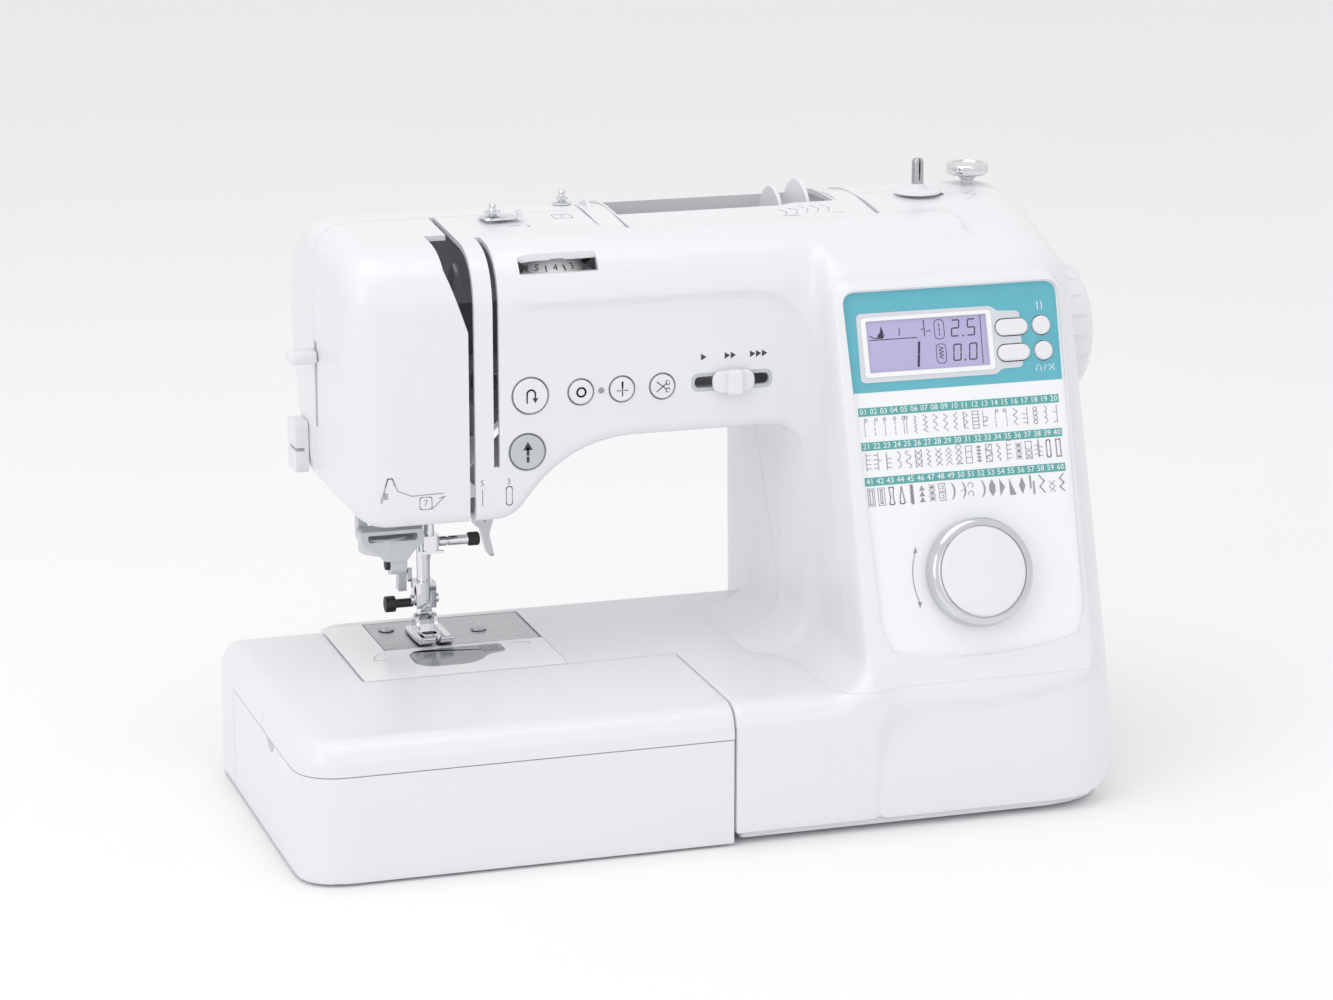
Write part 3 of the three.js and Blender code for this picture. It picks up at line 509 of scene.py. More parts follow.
def body_field(grid):
    x, y, z = grid.along("x"), grid.along("y"), grid.along("z")
    top = [(RIDGE_Y, RIDGE_Z), (BACK, RIDGE_Z, 62)]
    arm_side = rounded(
        [(ARM_FRONT, 60), (ARM_FRONT, CREASE_Z + 2), (ARM_FRONT + 2, RIDGE_Z - 6, 28)]
        + top
        + [(BACK, 214, 60), (74, 140, 10), (60, 60)],
        16,
    )
    tower_side = rounded(
        [(FRONT, BED_LOW), (FRONT, 44, 36), (slope_y(284), 284, 16), (10, RIDGE_Z - 1, 24)]
        + top
        + [(BACK, 190, 90), (BED_BACK, 60, 40), (BED_BACK, BED_LOW)],
        16,
    )
    throat = rounded(
        [
            (-300, 500), (-300, HEAD_BOTTOM), (-103, HEAD_BOTTOM, 10), (-72, ARM_BOTTOM, 36),
            (THROAT_RIGHT, ARM_BOTTOM, 24), (THROAT_RIGHT, BED_TOP + 2, 25),
            (THROAT_RIGHT - 29, BED_TOP - 0.5, 3), (THROAT_RIGHT - 40, -60), (400, -60), (400, 500),
        ],
        12,
    )
    opening = grid.extruded("y", throat)
    # The arm's front stands proud above a crease that turns down before the tower.
    crease = rounded([(-300, 0), (-300, CREASE_Z), (56, CREASE_Z, 34), (56, 0)], 12)
    above = np.clip(grid.extruded("y", crease) / 3.5, 0, 1)
    proud = CREASE_PROUD * above * above * (3 - 2 * above)
    proud = proud * fade(y, -16, 14) * (1 - fade(x, -108, -92))
    arm = soft_max(grid.extruded("x", arm_side) - proud, opening, 6)
    arm = soft_max(arm, HEAD_LEFT - x, 22)
    arm = np.maximum(arm, x - 150)

    tower = soft_max(grid.extruded("x", tower_side), TOWER_LEFT - x, 9)
    tower = soft_max(tower, x - RIGHT, 22 + 16 * fade(y, 0, 60))
    valley = 0.01 + 16 * fade(x, 75, 100) * fade(z, 262, 296) * fade(y, -5, 15)
    upper = soft_min(arm, tower, valley)

    slab_plan = rounded(
        [
            (ARM_LEFT, FREE_ARM_NEAR, 4), (SEAM_X + 0.3, FREE_ARM_NEAR), (SEAM_X + 0.3, FRONT),
            (TOWER_LEFT + 80, FRONT), (TOWER_LEFT + 80, FREE_ARM_FAR), (ARM_LEFT, FREE_ARM_FAR, 16),
        ]
    )
    slab = soft_max(FRONT - y, z - BED_TOP, 16)
    slab = np.maximum(slab, grid.extruded("z", slab_plan))
    shoulder_plan = rounded([(38, 60), (TOWER_LEFT + 20, 60), (TOWER_LEFT + 20, BED_BACK),
                             (38, BED_BACK, 12)])
    shoulder = soft_max(grid.extruded("z", shoulder_plan), z - SHOULDER_TOP, 14)
    slab = np.minimum(slab, shoulder)
    slab = np.maximum(slab, BED_LOW - z) + 0.5 * np.maximum(0, x - TOWER_LEFT - 2)
    under = np.maximum(FREE_ARM_NEAR - 1 - y, z - FREE_ARM_UNDER)
    under = np.maximum(under, x - SEAM_X - 6)
    slab = np.maximum(slab, -under)
    flare = 0.01 + 22 * (1 - fade(z, 50, 66)) * fade(y, 10, 60) * (1 - fade(x, 20, 45))
    body = np.maximum(soft_min(upper, slab, flare), FRONT - y)

    up, out = panel_axes(grid)
    # The panel's raised frame stands on the slope, a little proud of it.
    frame_plan = panel_plan_field(grid, FRAME_OUTLINE, up)
    pad = soft_max(frame_plan, out - 2.4, 3.5)
    pad = np.maximum(pad, -26 - out)
    return soft_min(body, pad, 3)


def panel_plan_field(grid, outline, up):
    """The field of an outline drawn in the control panel's plane."""
    steps = np.arange(-60, 300, grid.step)
    drawn = outline_field(outline, grid.x, steps)
    place = np.clip((up - steps[0]) / grid.step, 0, len(steps) - 1.001)
    index = place.astype(int)
    rest = place - index
    return (drawn[:, index[0]] * (1 - rest) + drawn[:, index[0] + 1] * rest)


PANEL_MATRIX = Matrix.Translation((0, PANEL_FOOT_Y * MM, PANEL_FOOT_Z * MM)) @ Matrix.Rotation(
    math.pi / 2 - PANEL_TILT, 4, "X"
)


def on_panel(piece):
    """Moves a piece drawn in the panel's own frame onto the panel."""
    piece.data.transform(PANEL_MATRIX)
    return piece


def handle_side(grow, lift=0):
    back = [(130, 279), (130, 300)] if lift else [(113, 283.5, 4)]
    return rounded(
        [
            (HANDLE_Y - 4.5 - grow, HANDLE_Z - 4.5 - grow, 4), (RIDGE_Y, 295.5 - grow, 14),
            (92, 289 - grow, 8), (104 - grow, 277 - grow, 3),
        ]
        + back
        + [
            (97, 298.5 + lift, 10), (RIDGE_Y, 305.2 + lift, 16),
            (HANDLE_Y - 4.5 - grow, HANDLE_Z + 4.5 + lift, 4),
        ]
    )


def top_recess():
    lift, half = 14, HANDLE_HALF + 1
    outline = handle_side(1, lift)
    first, last = HANDLE_ARMS[0] - half, HANDLE_ARMS[1] + half
    cutters = [prism("recess", "x", outline, x - half, x + half) for x in HANDLE_ARMS]
    grip = prism("grip_room", "x", outline, first, last)
    keep(grip, block("grip_region", (first - 1, last + 1), (84, BACK + 9), (250, 340)))
    well_round = circle(SPOOL_Y, SPOOL_Z, 25, 72)
    well = prism("well", "x", well_round, -27, 95)
    mouth = block("well_mouth", (-27, 95), (SPOOL_Y - 25, 90), (SPOOL_Z, 330))
    return cutters + [grip, well, mouth]


def make_casings():
    """The four casings: one hollow body, split along its seams."""
    fine, coarse = (Grid((-198, -132, -2), (216, 132, 312), step) for step in (2.0, 4.0))
    outer = fine.surface("casing_body", body_field(fine))
    inner = coarse.surface("casing_core", body_field(coarse), -WALL)
    shell = cut(outer, inner)
    pocket = on_panel(prism("panel_pocket", "z", PANEL_OUTLINE, -2.4, 14))
    behind = on_panel(block("panel_opening", (74, 183), (34, 203), (-30, 4)))
    cut(shell, pocket, behind)
    seam = 0.06
    upper_front = [(-300, 400), (SPLIT_Y, 400), (SPLIT_Y, 172), (-0.1, BED_TOP), (-300, BED_TOP)]
    upper_rear = [(SPLIT_Y + 0.4, 400), (300, 400), (300, BED_TOP), (0.3, BED_TOP),
                  (SPLIT_Y + 0.4, 172)]
    gap = [(a, max(b, BED_TOP + seam)) for a, b in upper_front]
    rear_gap = [(a, max(b, BED_TOP + seam)) for a, b in upper_rear]

    face = keep(copy_of(shell, "face_cover_skin"), prism("region", "x", gap, -300, FACE_RIGHT))
    front = keep(copy_of(shell, "front_casing_skin"), prism("region", "x", gap, WINDOW_RIGHT, 300))
    rear = keep(copy_of(shell, "rear_casing_skin"), prism("region", "x", rear_gap, -300, 300))
    bed = keep(shell, block("region", (-300, 300), (-300, 300), (-10, BED_TOP)))
    bed.name = "bed_casing_skin"

    mouth = ((-184, -108), (12, 80), (140, HEAD_BOTTOM + 16))
    cut(face, block("mouth", *mouth), window_cutter(), block(
        "threader_slot", (HEAD_LEFT - 5, HEAD_LEFT + 8), (43.5, 48.5), (196, 242)))
    cut(front, block("mouth", *mouth), *front_openings(), *top_recess())
    cut(rear, block("mouth", *mouth), block("lifter_slot", (-112, -80), (62, 78), (140, 186)),
        *rear_openings(), *top_recess())
    cut(bed, *bed_openings())
    for piece, node in ((face, "face_cover"), (front, "front_casing"), (rear, "rear_casing"),
                        (bed, "bed_casing")):
        finish_piece(smooth(piece, 38), node)
    return front


def window_cutter():
    """The take-up window widens towards the top of the thread slot."""
    outline = [
        (FACE_RIGHT + 1, 255), (FACE_RIGHT + 1, 320), (FACE_RIGHT - 13, 320),
        (FACE_RIGHT - 11, 290),
    ]
    return prism("take_up_window", "y", outline, ARM_FRONT - 5, 14)


ARM_BUTTONS = ("reverse_button", "start_button", "stitch_tie_button", "needle_position_button",
               "thread_cut_button")


def round_size(node):
    """The middle of a round button on the arm, in (x, z), and its radius."""
    low, high = node_box(node)
    x, _, z = middle_of(node)
    return (x, z), (high[0] - low[0]) / 2


def front_openings():
    cutters = []
    for node in ARM_BUTTONS:
        (x, z), radius = round_size(node)
        outline = circle(x, z, radius + 0.5, 64)
        cutters.append(prism("hole", "y", outline, ARM_FRONT - 8, ARM_FRONT + 8))
    slider = rectangle(-6.5, 37.5, SLIDER_Z - 4.4, SLIDER_Z + 4.4, 4.3)
    cutters.append(prism("slider_slot", "y", slider, ARM_FRONT - 5, ARM_FRONT + 8))
    cutters.append(block("thread_slot", (-114, -110.8), (ARM_FRONT - 5, 6), (186, 330)))
    window = rectangle(-98.5, -56.5, ARM_FRONT - 10, -20.5, 2)
    cutters.append(prism("tension_window", "z", window, 286, 312))
    low, high = node_box("tension_dial")
    x, y, _ = middle_of("tension_dial")
    radius = (high[0] - low[0]) / 2
    cutters.append(lathe("dial_room", "z", (x, y), [
        (0, low[2] - 1), (radius + 0.8, low[2] - 1), (radius + 0.8, high[2] + 1),
        (0, high[2] + 1)]))
    _, y, z = middle_of("main_shaft")
    cutters.append(prism("shaft_hole", "x", circle(y, z, 8.5), RIGHT - 30, RIGHT + 5))
    x, y, _ = middle_of("winder_shaft")
    cutters.append(prism("winder_slot", "z", rectangle(x - 6, x + 15, y - 5, y + 5, 4), 288, 320))
    return cutters


def rear_openings():
    cutters = []
    for node, half_y, half_z in (("power_switch", 7, 11), ("power_inlet", 13, 10)):
        _, y, z = middle_of(node)
        cutters.append(block("hole", (RIGHT - 8, RIGHT + 12), (y - half_y, y + half_y),
                             (z - half_z, z + half_z)))
    x, y, _ = middle_of("winder_stop")
    cutters.append(prism("stop_hole", "z", circle(x, y, 3.6), 285, 306))
    return cutters


def bed_openings():
    seat = block("seat", (ARM_LEFT - 1, -72.4), (FREE_ARM_NEAR - 1, 80.4), (BED_TOP - 2.5, 90))
    well = block("well", (ARM_LEFT + 5, -76), (FREE_ARM_NEAR + 5, 76), (60, 90))
    lever = block("lever_slot", (-112, -82), (FREE_ARM_FAR - 6, FREE_ARM_FAR + 5), (46, 51))
    shelf = block("shelf_slot", (SEAM_X - 2, SEAM_X + 14), (-17.8, 86), (0, 13))
    return seat, well, lever, shelf


# ------------------------------------------------ every other node, with softened edges
MODELLED = {
    "front_casing", "rear_casing", "face_cover", "bed_casing", "control_panel", "display",
    "selection_dial", "key_upper_left", "key_lower_left", "key_upper_right", "key_lower_right",
    "reverse_button", "start_button", "stitch_tie_button", "needle_position_button",
    "thread_cut_button", "speed_slider", "attachment", "compartment_lid", "tension_dial",
    "winder_shaft", "winder_stop", "needle_threader", "presser_foot", "needle_clamp_screw",
    "foot_holder", "bobbin_cover", "presser_lifter", "handwheel", "base_tray", "plate_surround",
    "pretension_guide",
}


def make_softened(skip):
    for node in frame["nodes"]:
        if node in skip:
            continue
        piece = copy_of(frame["nodes"][node], node + "_detail")
        weld = piece.modifiers.new("weld", "WELD")
        weld.merge_threshold = 1e-6
        settle(piece)
        low, high = node_box(node)
        finish_piece(bevel(piece, min(0.45, 0.12 * min(high - low)), 2, 38), node)


# ------------------------------------------------ printed marks
MARK_DEPTH = 0.3


class Print:
    """Marks drawn flat in a plane, a little proud of it."""

    def __init__(self, height=0.12):
        self.points, self.faces, self.height = [], [], height

    def fill(self, outline):
        base, count = len(self.points), len(outline)
        self.points += [(a, b, -MARK_DEPTH) for a, b in outline]
        self.points += [(a, b, self.height) for a, b in outline]
        self.faces.append([base + i for i in range(count)][::-1])
        self.faces.append([base + count + i for i in range(count)])
        for i in range(count):
            j = (i + 1) % count
            self.faces.append([base + i, base + j, base + count + j, base + count + i])

    def stroke(self, path, width=0.5, closed=False):
        path = np.array(path, float)
        if closed:
            path = np.vstack([path, path[:1]])
        for start, end in zip(path[:-1], path[1:]):
            along = end - start
            length = np.linalg.norm(along)
            if length < 1e-6:
                continue
            along = along / length * width / 2
            across = np.array([-along[1], along[0]])
            self.fill([start - along - across, end + along - across,
                       end + along + across, start - along + across])

    def dashes(self, path, width, count, gap=0.4):
        path = np.array(path, float)
        for i in range(count):
            t0, t1 = i / count, (i + 1 - gap) / count
            self.stroke([path[0] + (path[1] - path[0]) * t0, path[0] + (path[1] - path[0]) * t1],
                        width)

    def text(self, words, a, b, size):
        curve = bpy.data.curves.new("words", "FONT")
        curve.body = words
        curve.align_x = "CENTER"
        curve.align_y = "CENTER"
        curve.size = size
        curve.extrude = (self.height + MARK_DEPTH) / 2
        curve.resolution_u = 2
        holder = bpy.data.objects.new("words", curve)
        bpy.context.scene.collection.objects.link(holder)
        bpy.context.view_layer.update()
        mesh = holder.evaluated_get(bpy.context.evaluated_depsgraph_get()).to_mesh()
        base, lift = len(self.points), (self.height - MARK_DEPTH) / 2
        for vertex in mesh.vertices:
            x, y, z = vertex.co
            self.points.append((a + x, b + y, z + lift))
        self.faces += [[base + v for v in face.vertices] for face in mesh.polygons]
        bpy.data.objects.remove(holder)

    def place(self, name, node, material, matrix, target=None):
        """Makes the marks a piece, laid on the target's surface if there is one."""
        piece = to_object(name, self.points, self.faces)
        piece.data.transform(matrix)
        if target is not None:
            out = (matrix.to_3x3() @ Vector((0, 0, 1))).normalized()
            origin = matrix.translation
            for vertex in piece.data.vertices:
                lift = (vertex.co - origin).dot(out)
                start = vertex.co + out * (0.03 - lift)
                hit, place, _, _ = target.ray_cast(start, -out)
                if hit:
                    vertex.co = place + out * lift
        add_piece(piece, node, material)


ARM_PLANE = Matrix.Translation((0, ARM_FRONT * MM, 0)) @ Matrix.Rotation(math.pi / 2, 4, "X")
BED_PLANE = Matrix.Translation((0, 0, BED_TOP * MM))
TOP_PLANE = Matrix.Translation((0, 0, RIDGE_Z * MM))


def wave(a, b0, b1, reach, turns, steps=8):
    """A sine line up the page."""
    t = np.linspace(0, 1, turns * steps + 1)
    return np.column_stack([a + reach * np.sin(t * turns * 2 * math.pi), b0 + (b1 - b0) * t])


def zigzag(a, b0, b1, reach, count):
    t = np.linspace(b0, b1, count + 1)
    return [(a + reach * (-1) ** i, b) for i, b in enumerate(t)]


def arc(a, b, radius, start, end, steps=16):
    turn = np.radians(np.linspace(start, end, steps))
    return np.column_stack([a + radius * np.cos(turn), b + radius * np.sin(turn)])


# ------------------------------------------------ the stitch chart
THIN = 0.34
HEAVY = THIN * 1.8
UPRIGHT = [(0, 0), (0, 9)]


def line(ink, a, b, points, weight=THIN, closed=False):
    """A line whose points are counted from the symbol's lower middle."""
    ink.stroke([(a + x, b + y) for x, y in points], weight, closed)


def area(ink, a, b, points):
    ink.fill([(a + x, b + y) for x, y in points])


def comb(ink, a, b, side, teeth, up=0):
    line(ink, a, b + up, UPRIGHT)
    for t in range(teeth):
        level = 1 + t * 2.3
        line(ink, a, b + up, [(0, level), (2.4 * side, level)])


def ladder(ink, a, b, rungs):
    for side in (-1.7, 1.7):
        line(ink, a + side, b, UPRIGHT)
    for t in range(rungs + 1):
        line(ink, a, b + t * 9 / rungs, [(-1.7, 0), (1.7, 0)])


def crosses(ink, a, b, count):
    for t in range(count):
        line(ink, a, b + t * 3, [(-1.6, 0), (1.6, 2.7)])
        line(ink, a, b + t * 3, [(1.6, 0), (-1.6, 2.7)])


def stars(ink, a, b, count):
    crosses(ink, a, b, count)
    for t in range(count):
        line(ink, a, b + t * 3, [(0, 0), (0, 2.7)])
        line(ink, a, b + t * 3, [(-1.6, 1.35), (1.6, 1.35)])


def straight(ink, a, b, count, lead):
    """A dashed line with a small ring at its head, which the lead moves sideways."""
    ink.dashes([(a, b), (a, b + 8)], THIN, count)
    ink.stroke(arc(a + lead, b + 8.3, 0.8, 0, 360, 9), THIN)


def dashed(ink, a, b, count):
    ink.dashes([(a, b), (a, b + 9)], THIN, count)


def dashed_zigzag(ink, a, b, reach, count):
    corners = zigzag(a, b, b + 9, reach, count)
    for start, end in zip(corners[:-1], corners[1:]):
        ink.dashes([start, end], THIN, 2, 0.25)


def arcs(ink, a, b, first, step, count, radius, start, end, steps):
    """Equal arcs up the symbol, a step apart."""
    for t in range(count):
        ink.stroke(arc(a, b + first + step * t, radius, start, end, steps), THIN)


def buttonhole(ink, a, b, inner):
    line(ink, a, b, rectangle(-1.8, 1.8, 0, 9, 0.2, 3), closed=True)
    line(ink, a, b, rectangle(-inner, inner, 1, 8, 0.1, 3), THIN * 1.4, True)


def diamonds(ink, a, b, count):
    step = 9 / count
    half = step * 0.46
    for t in range(count):
        area(ink, a, b + (t + 0.5) * step, [(0, -half), (1.5, 0), (0, half), (-1.5, 0)])


def chevrons(ink, a, b):
    for low in (0, 2.3, 4.6, 6.9):
        line(ink, a, b + low, [(-1.6, 0), (0, 2), (1.6, 0)])


def triangles(ink, a, b):
    for t in range(3):
        area(ink, a, b + 3 * t, [(-1.6, 0), (1.6, 0), (0, 2.8)])


def moon(ink, a, b):
    outer = arc(-4.4, 4.5, 6.2, -46, 46)
    inner = arc(-7.4, 4.5, 8.2, 33, -33)
    area(ink, a, b, np.vstack([outer, inner]))


def spiral(ink, a, b):
    for low in (0, 4.8):
        line(ink, a, b + low, [(-1.8, 0), (1.8, 0), (1.8, 4.1), (-1.8, 4.1), (-1.8, 1.3),
                               (0.7, 1.3), (0.7, 2.8), (-0.6, 2.8)])


def zig(reach, count):
    return zigzag(0, 0, 9, reach, count)


# Each symbol is a row of (drawing, shift to the right, arguments).
STITCHES = [
    [(straight, 0, 4, 0.9)],
    [(straight, 0, 3, 0.9)],
    [(straight, 0, 4, 0)],
    [(straight, 0, 3, 0)],
    [(straight, -0.7, 5, 0), (straight, 0.7, 5, 0)],
    [(line, 0, zig(0.6, 9))],
    [(line, 0, zig(1.1, 7))],
    [(line, 0, zig(1.2, 5))],
    [(dashed_zigzag, 0, 1.2, 5)],
    [(line, 0, zig(0.9, 6))],
    [(line, 0, zig(1.2, 5)), (line, -1, UPRIGHT)],
    [(ladder, 0, 5)],
    [(comb, -1.4, 1, 3), (line, 0, [(-1, 3), (1.6, 5)])],
    [(straight, 0, 4, 0.9)],
    [(straight, 0.6, 4, -0.9)],
    [(line, 0, zig(1.2, 5))],
    [(comb, 1, -1, 3)],
    [(arcs, 0, 1, 2.3, 4, 1.1, 0, 360, 9)],
    [(arcs, -0.6, 1.5, 3, 3, 1.5, -80, 80, 7)],
    [(line, 1, UPRIGHT), (line, 0, [(-1, 0), (1, 1)]), (line, 0, [(-1, 6), (1, 5)])],
    [(comb, -0.9, 1, 4)],
    [(comb, 0, -1, 4), (line, 0, [(0, 5), (1.6, 5)])],
    [(dashed, -1, 4), (comb, -0.8, 1, 3)],
    [(arcs, -0.8, 2.25, 4.5, 2, 2.1, -80, 80, 8)],
    [(line, 0, wave(0, 0, 9, 1.5, 2))],
    [(crosses, 0, 3), (line, -1.7, UPRIGHT), (line, 1.7, UPRIGHT)],
    [(line, 0, zig(0.9, 7))],
    [(crosses, 0, 3)],
    [(chevrons, 0)],
    [(crosses, 0, 4), (line, 0, [(-1.6, 0), (1.6, 0)])],
    [(ladder, 0, 3)],
    [(diamonds, 0, 5)],
    [(ladder, 0, 3), (line, 0, zig(1.6, 4))],
    [(line, 0, wave(0, 0, 9, 0.9, 3))],
    [(comb, -1, 1, 5)],
    [(stars, 0, 3)],
    [(ladder, 0, 1), (crosses, 0, 2)],
    [(comb, -0.2, 1, 3), (comb, 0.2, -1, 3, 1)],
    [(line, 0, rectangle(-1.1, 1.1, 0, 9, 1.0, 3), HEAVY, True)],
    [(line, 0, rectangle(-1.2, 1.2, 0, 9), THIN * 2, True)],
    [(buttonhole, 0, 0.8)],
    [(buttonhole, 0, 0.5)],
    [(line, 0, rounded([(-1.5, 0, 1), (1.5, 0, 1), (0.7, 4), (1.3, 9, 0.5), (-1.3, 9, 0.5),
                        (-0.7, 4)], 4), HEAVY, True)],
    [(line, 0, rounded([(-1.5, 0, 1.2), (1.5, 0, 1.2), (0.9, 4), (0, 9, 0.5), (-0.9, 4)], 4),
      HEAVY, True)],
    [(line, 0, UPRIGHT, 1.5), (line, 0, zig(1.0, 13))],
    [(triangles, 0)],
    [(stars, 0, 3)],
    [(spiral, 0)],
    [(moon, 0)],
    [(moon, 0.4), (line, 0, [(-1.2, 4), (1.6, 5)])],
    [(arcs, -0.9, 2.3, 4.4, 2, 1.5, -60, 200, 9)],
    [(moon, 0)],
    [(area, 0, [(0, 0), (1.7, 3), (1.7, 6), (0, 9), (-1.7, 6), (-1.7, 3)])],
    [(area, 0, [(-1.4, 0), (1.5, 4.5), (-1.4, 9)])],
    [(area, 0, [(-1.6, 0), (1.9, 0), (-1.6, 9)])],
    [(area, 0, [(0, 0), (1.8, 4.5), (0, 9), (-1.8, 4.5)])],
    [(line, -0.9, [(0, 3), (0, 9)], 1.0), (line, 0.9, [(0, 0), (0, 6)], 1.0)],
    [(line, 0, zig(1.3, 3), THIN * 2)],
    [(crosses, 0, 2)],
    [(line, 0, zig(1.1, 4), THIN * 2)],
]
CHART_ROWS = (146, 128, 109.6)
CHART_LEFT, CHART_RIGHT = 71.5, 184.2


def make_chart():
    bars, digits, symbols = Print(0.10), Print(0.2), Print(0.12)
    cell = (CHART_RIGHT - CHART_LEFT) / 20
    for row, middle in enumerate(CHART_ROWS):
        bars.fill(rectangle(CHART_LEFT, CHART_RIGHT, middle - 2.2, middle + 2.2))
        for column in range(20):
            across = CHART_LEFT + (column + 0.5) * cell
            number = row * 20 + column
            digits.text(f"{number + 1:02d}", across, middle, 4.2)
            for draw, shift, *arguments in STITCHES[number]:
                draw(symbols, across + shift, middle - 12.6, *arguments)
    bars.place("chart_bars", "control_panel", BAR_TEAL, PANEL_MATRIX)
    digits.place("chart_numbers", "control_panel", INK_WHITE, PANEL_MATRIX)
    symbols.place("chart_symbols", "control_panel", INK_GREY, PANEL_MATRIX)


# ------------------------------------------------ the control panel
SEGMENTS = {
    "0": "abcdef", "1": "bc", "2": "abged", "5": "afgcd",
}


def seven_segment(ink, figure, a, b, width, height, weight, lean=0.1):
    """A segment figure whose lower left corner is at (a, b)."""
    half = height / 2
    ends = {
        "a": ((0, height), (width, height)), "b": ((width, height), (width, half)),
        "c": ((width, half), (width, 0)), "d": ((0, 0), (width, 0)),
        "e": ((0, 0), (0, half)), "f": ((0, half), (0, height)), "g": ((0, half), (width, half)),
    }
    for letter in SEGMENTS[figure]:
        (a0, b0), (a1, b1) = ends[letter]
        middle = np.array([(a0 + a1) / 2, (b0 + b1) / 2])
        start = middle + (np.array([a0, b0]) - middle) * 0.78
        end = middle + (np.array([a1, b1]) - middle) * 0.78
        ink.stroke([(a + p[0] + lean * p[1], b + p[1]) for p in (start, end)], weight)


KEY_NODES = ("key_upper_left", "key_lower_left", "key_upper_right", "key_lower_right")
KEY_PLACES = ((161.3, 185.3, 18, 8.6), (161.3, 171.8, 18, 8.6), (178.2, 185.3, 10, 10),
              (178.2, 171.8, 10, 10))


def key_holes(places, grow):
    return [prism("key_hole", "z", pill(*place, grow), -9, 9) for place in places]


def make_panel_plate():
    plate = prism("panel_plate", "z", PANEL_OUTLINE, -2.2, 0)
    cut(plate, block("display_hole", (76.5, 151), (163, 195.5), (-9, 9)),
        prism("dial_hole", "z", circle(*DIAL, 10), -9, 9), *key_holes(KEY_PLACES, 0.5))
    finish_piece(bevel(on_panel(plate), 0.5, 3), "control_panel", PRINT_WHITE)

    teal = prism("panel_teal", "z", rounded(
        [(68.6, 156, 0.5), (187.3, 156, 0.5), (188.4, 208.6, 7.5), (68.6, 208.6, 7.5)]), -0.4, 0.1)
    cut(teal, block("hole", (77, 150.5), (163.5, 195), (-9, 9)), *key_holes(KEY_PLACES, 0.6))
    add_piece(smooth(on_panel(teal)), "control_panel", TEAL)


def make_display():
    # The display's pale surround runs on to the right, behind the long keys.
    tray = prism("display_surround", "z", rounded(
        [(74.6, 161, 3), (150.4, 161, 1), (154, 163.6, 1), (166, 163.8, 3), (166.6, 193.8, 3),
         (154, 194.4, 1), (150.4, 197.2, 2), (75.2, 197.4, 3)]), -0.3, 0.5)
    cut(tray, block("hole", (80.2, 147.2), (166.2, 193), (-9, 9)), *key_holes(KEY_PLACES[:2], 0.6))
    add_piece(bevel(on_panel(tray), 0.3, 2), "control_panel", BEZEL)

    rim = prism("display_rim", "z", rectangle(77.4, 150.2, 163.6, 195.2, 2.2), -0.2, 0.9)
    cut(rim, prism("hole", "z", rectangle(80, 147.6, 166, 193.2, 1), -5, 5))
    add_piece(bevel(on_panel(rim), 0.45, 2), "control_panel", PRINT_WHITE)

    screen = on_panel(prism("display_screen", "z", rectangle(79.6, 147.8, 165.6, 193.4, 1), -2,
                            -0.2))
    finish_piece(bevel(screen, 0.15, 2), "display", LCD)


def make_display_figures():
    marks = Print(0.05)
    seven_segment(marks, "1", 104.5, 167.6, 3, 13.5, 1.3, 0.12)
    for words, base in (("25", 182.6), ("00", 169.8)):
        seven_segment(marks, words[0], 127.5, base, 4.0, 8.4, 0.65)
        marks.fill(circle(134, base, 0.5, 8))
        seven_segment(marks, words[1], 136.4, base, 4.0, 8.4, 0.65)
        marks.stroke(rectangle(118.2, 123.6, base - 1, base + 9.2, 2.6, 5), 0.35, closed=True)
    marks.dashes([(120.9, 183.4), (120.9, 190.4)], 0.45, 3)
    marks.stroke(zigzag(120.9, 171.2, 177.6, 1.1, 7), 0.4)
    marks.stroke([(82, 183.2), (108, 183.2)], 0.45)
    marks.stroke([(82, 185.4), (84.5, 184.2), (89, 184), (90, 185.6)], 0.5)
    marks.fill([(86, 184.2), (89.4, 184.2), (89.6, 187.4), (88.4, 190.4), (87.8, 187), (86.6, 186)])
    marks.text("J", 98.6, 187.2, 4.6)
    marks.stroke([(112.5, 192), (112.5, 183.8)], 0.5)
    marks.stroke([(110.8, 187.4), (112, 187.4)], 0.4)
    marks.stroke([(113.6, 186.2), (116, 186.2)], 0.4)
    marks.stroke([(144.4, 192.4), (143.8, 167.4)], 0.4)
    lcd_plane = PANEL_MATRIX @ Matrix.Translation((0, 0, -0.2 * MM))
    marks.place("display_figures", "display", SEGMENT, lcd_plane)


def make_panel_signs():
    signs = Print(0.18)
    for x in (-1.2, 1.2):
        signs.dashes([(178.4 + x, 194), (178.4 + x, 198.4)], 0.5, 2, 0.3)
    signs.stroke(arc(174.6, 163, 1.3, 0, 180, 8), 0.4)
    signs.stroke([(173.3, 163), (173.3, 161.4)], 0.4)
    signs.stroke([(175.9, 163), (175.9, 161.4)], 0.4)
    signs.stroke([(177.6, 161.2), (179, 164.4)], 0.35)
    signs.stroke([(180.6, 161.4), (183.6, 164.4)], 0.35)
    signs.stroke([(180.6, 164.4), (183.6, 161.4)], 0.35)
    signs.place("key_signs", "control_panel", INK_WHITE, PANEL_MATRIX)

    # A curved double arrow left of the dial shows which way it turns.
    turning = Print(0.15)
    turning.stroke(arc(*DIAL, 35.6, 158, 202, 20), 0.4)
    for angle, tip in ((158, 1), (202, -1)):
        (a, b), = arc(*DIAL, 35.6, angle, angle, 1)
        turning.fill([(a + 0.3 * tip, b + 2.8 * tip), (a - 1.2, b - 0.6 * tip),
                      (a + 1.1, b - 0.4 * tip)])
    turning.place("dial_arrow", "control_panel", INK_GREY, PANEL_MATRIX)


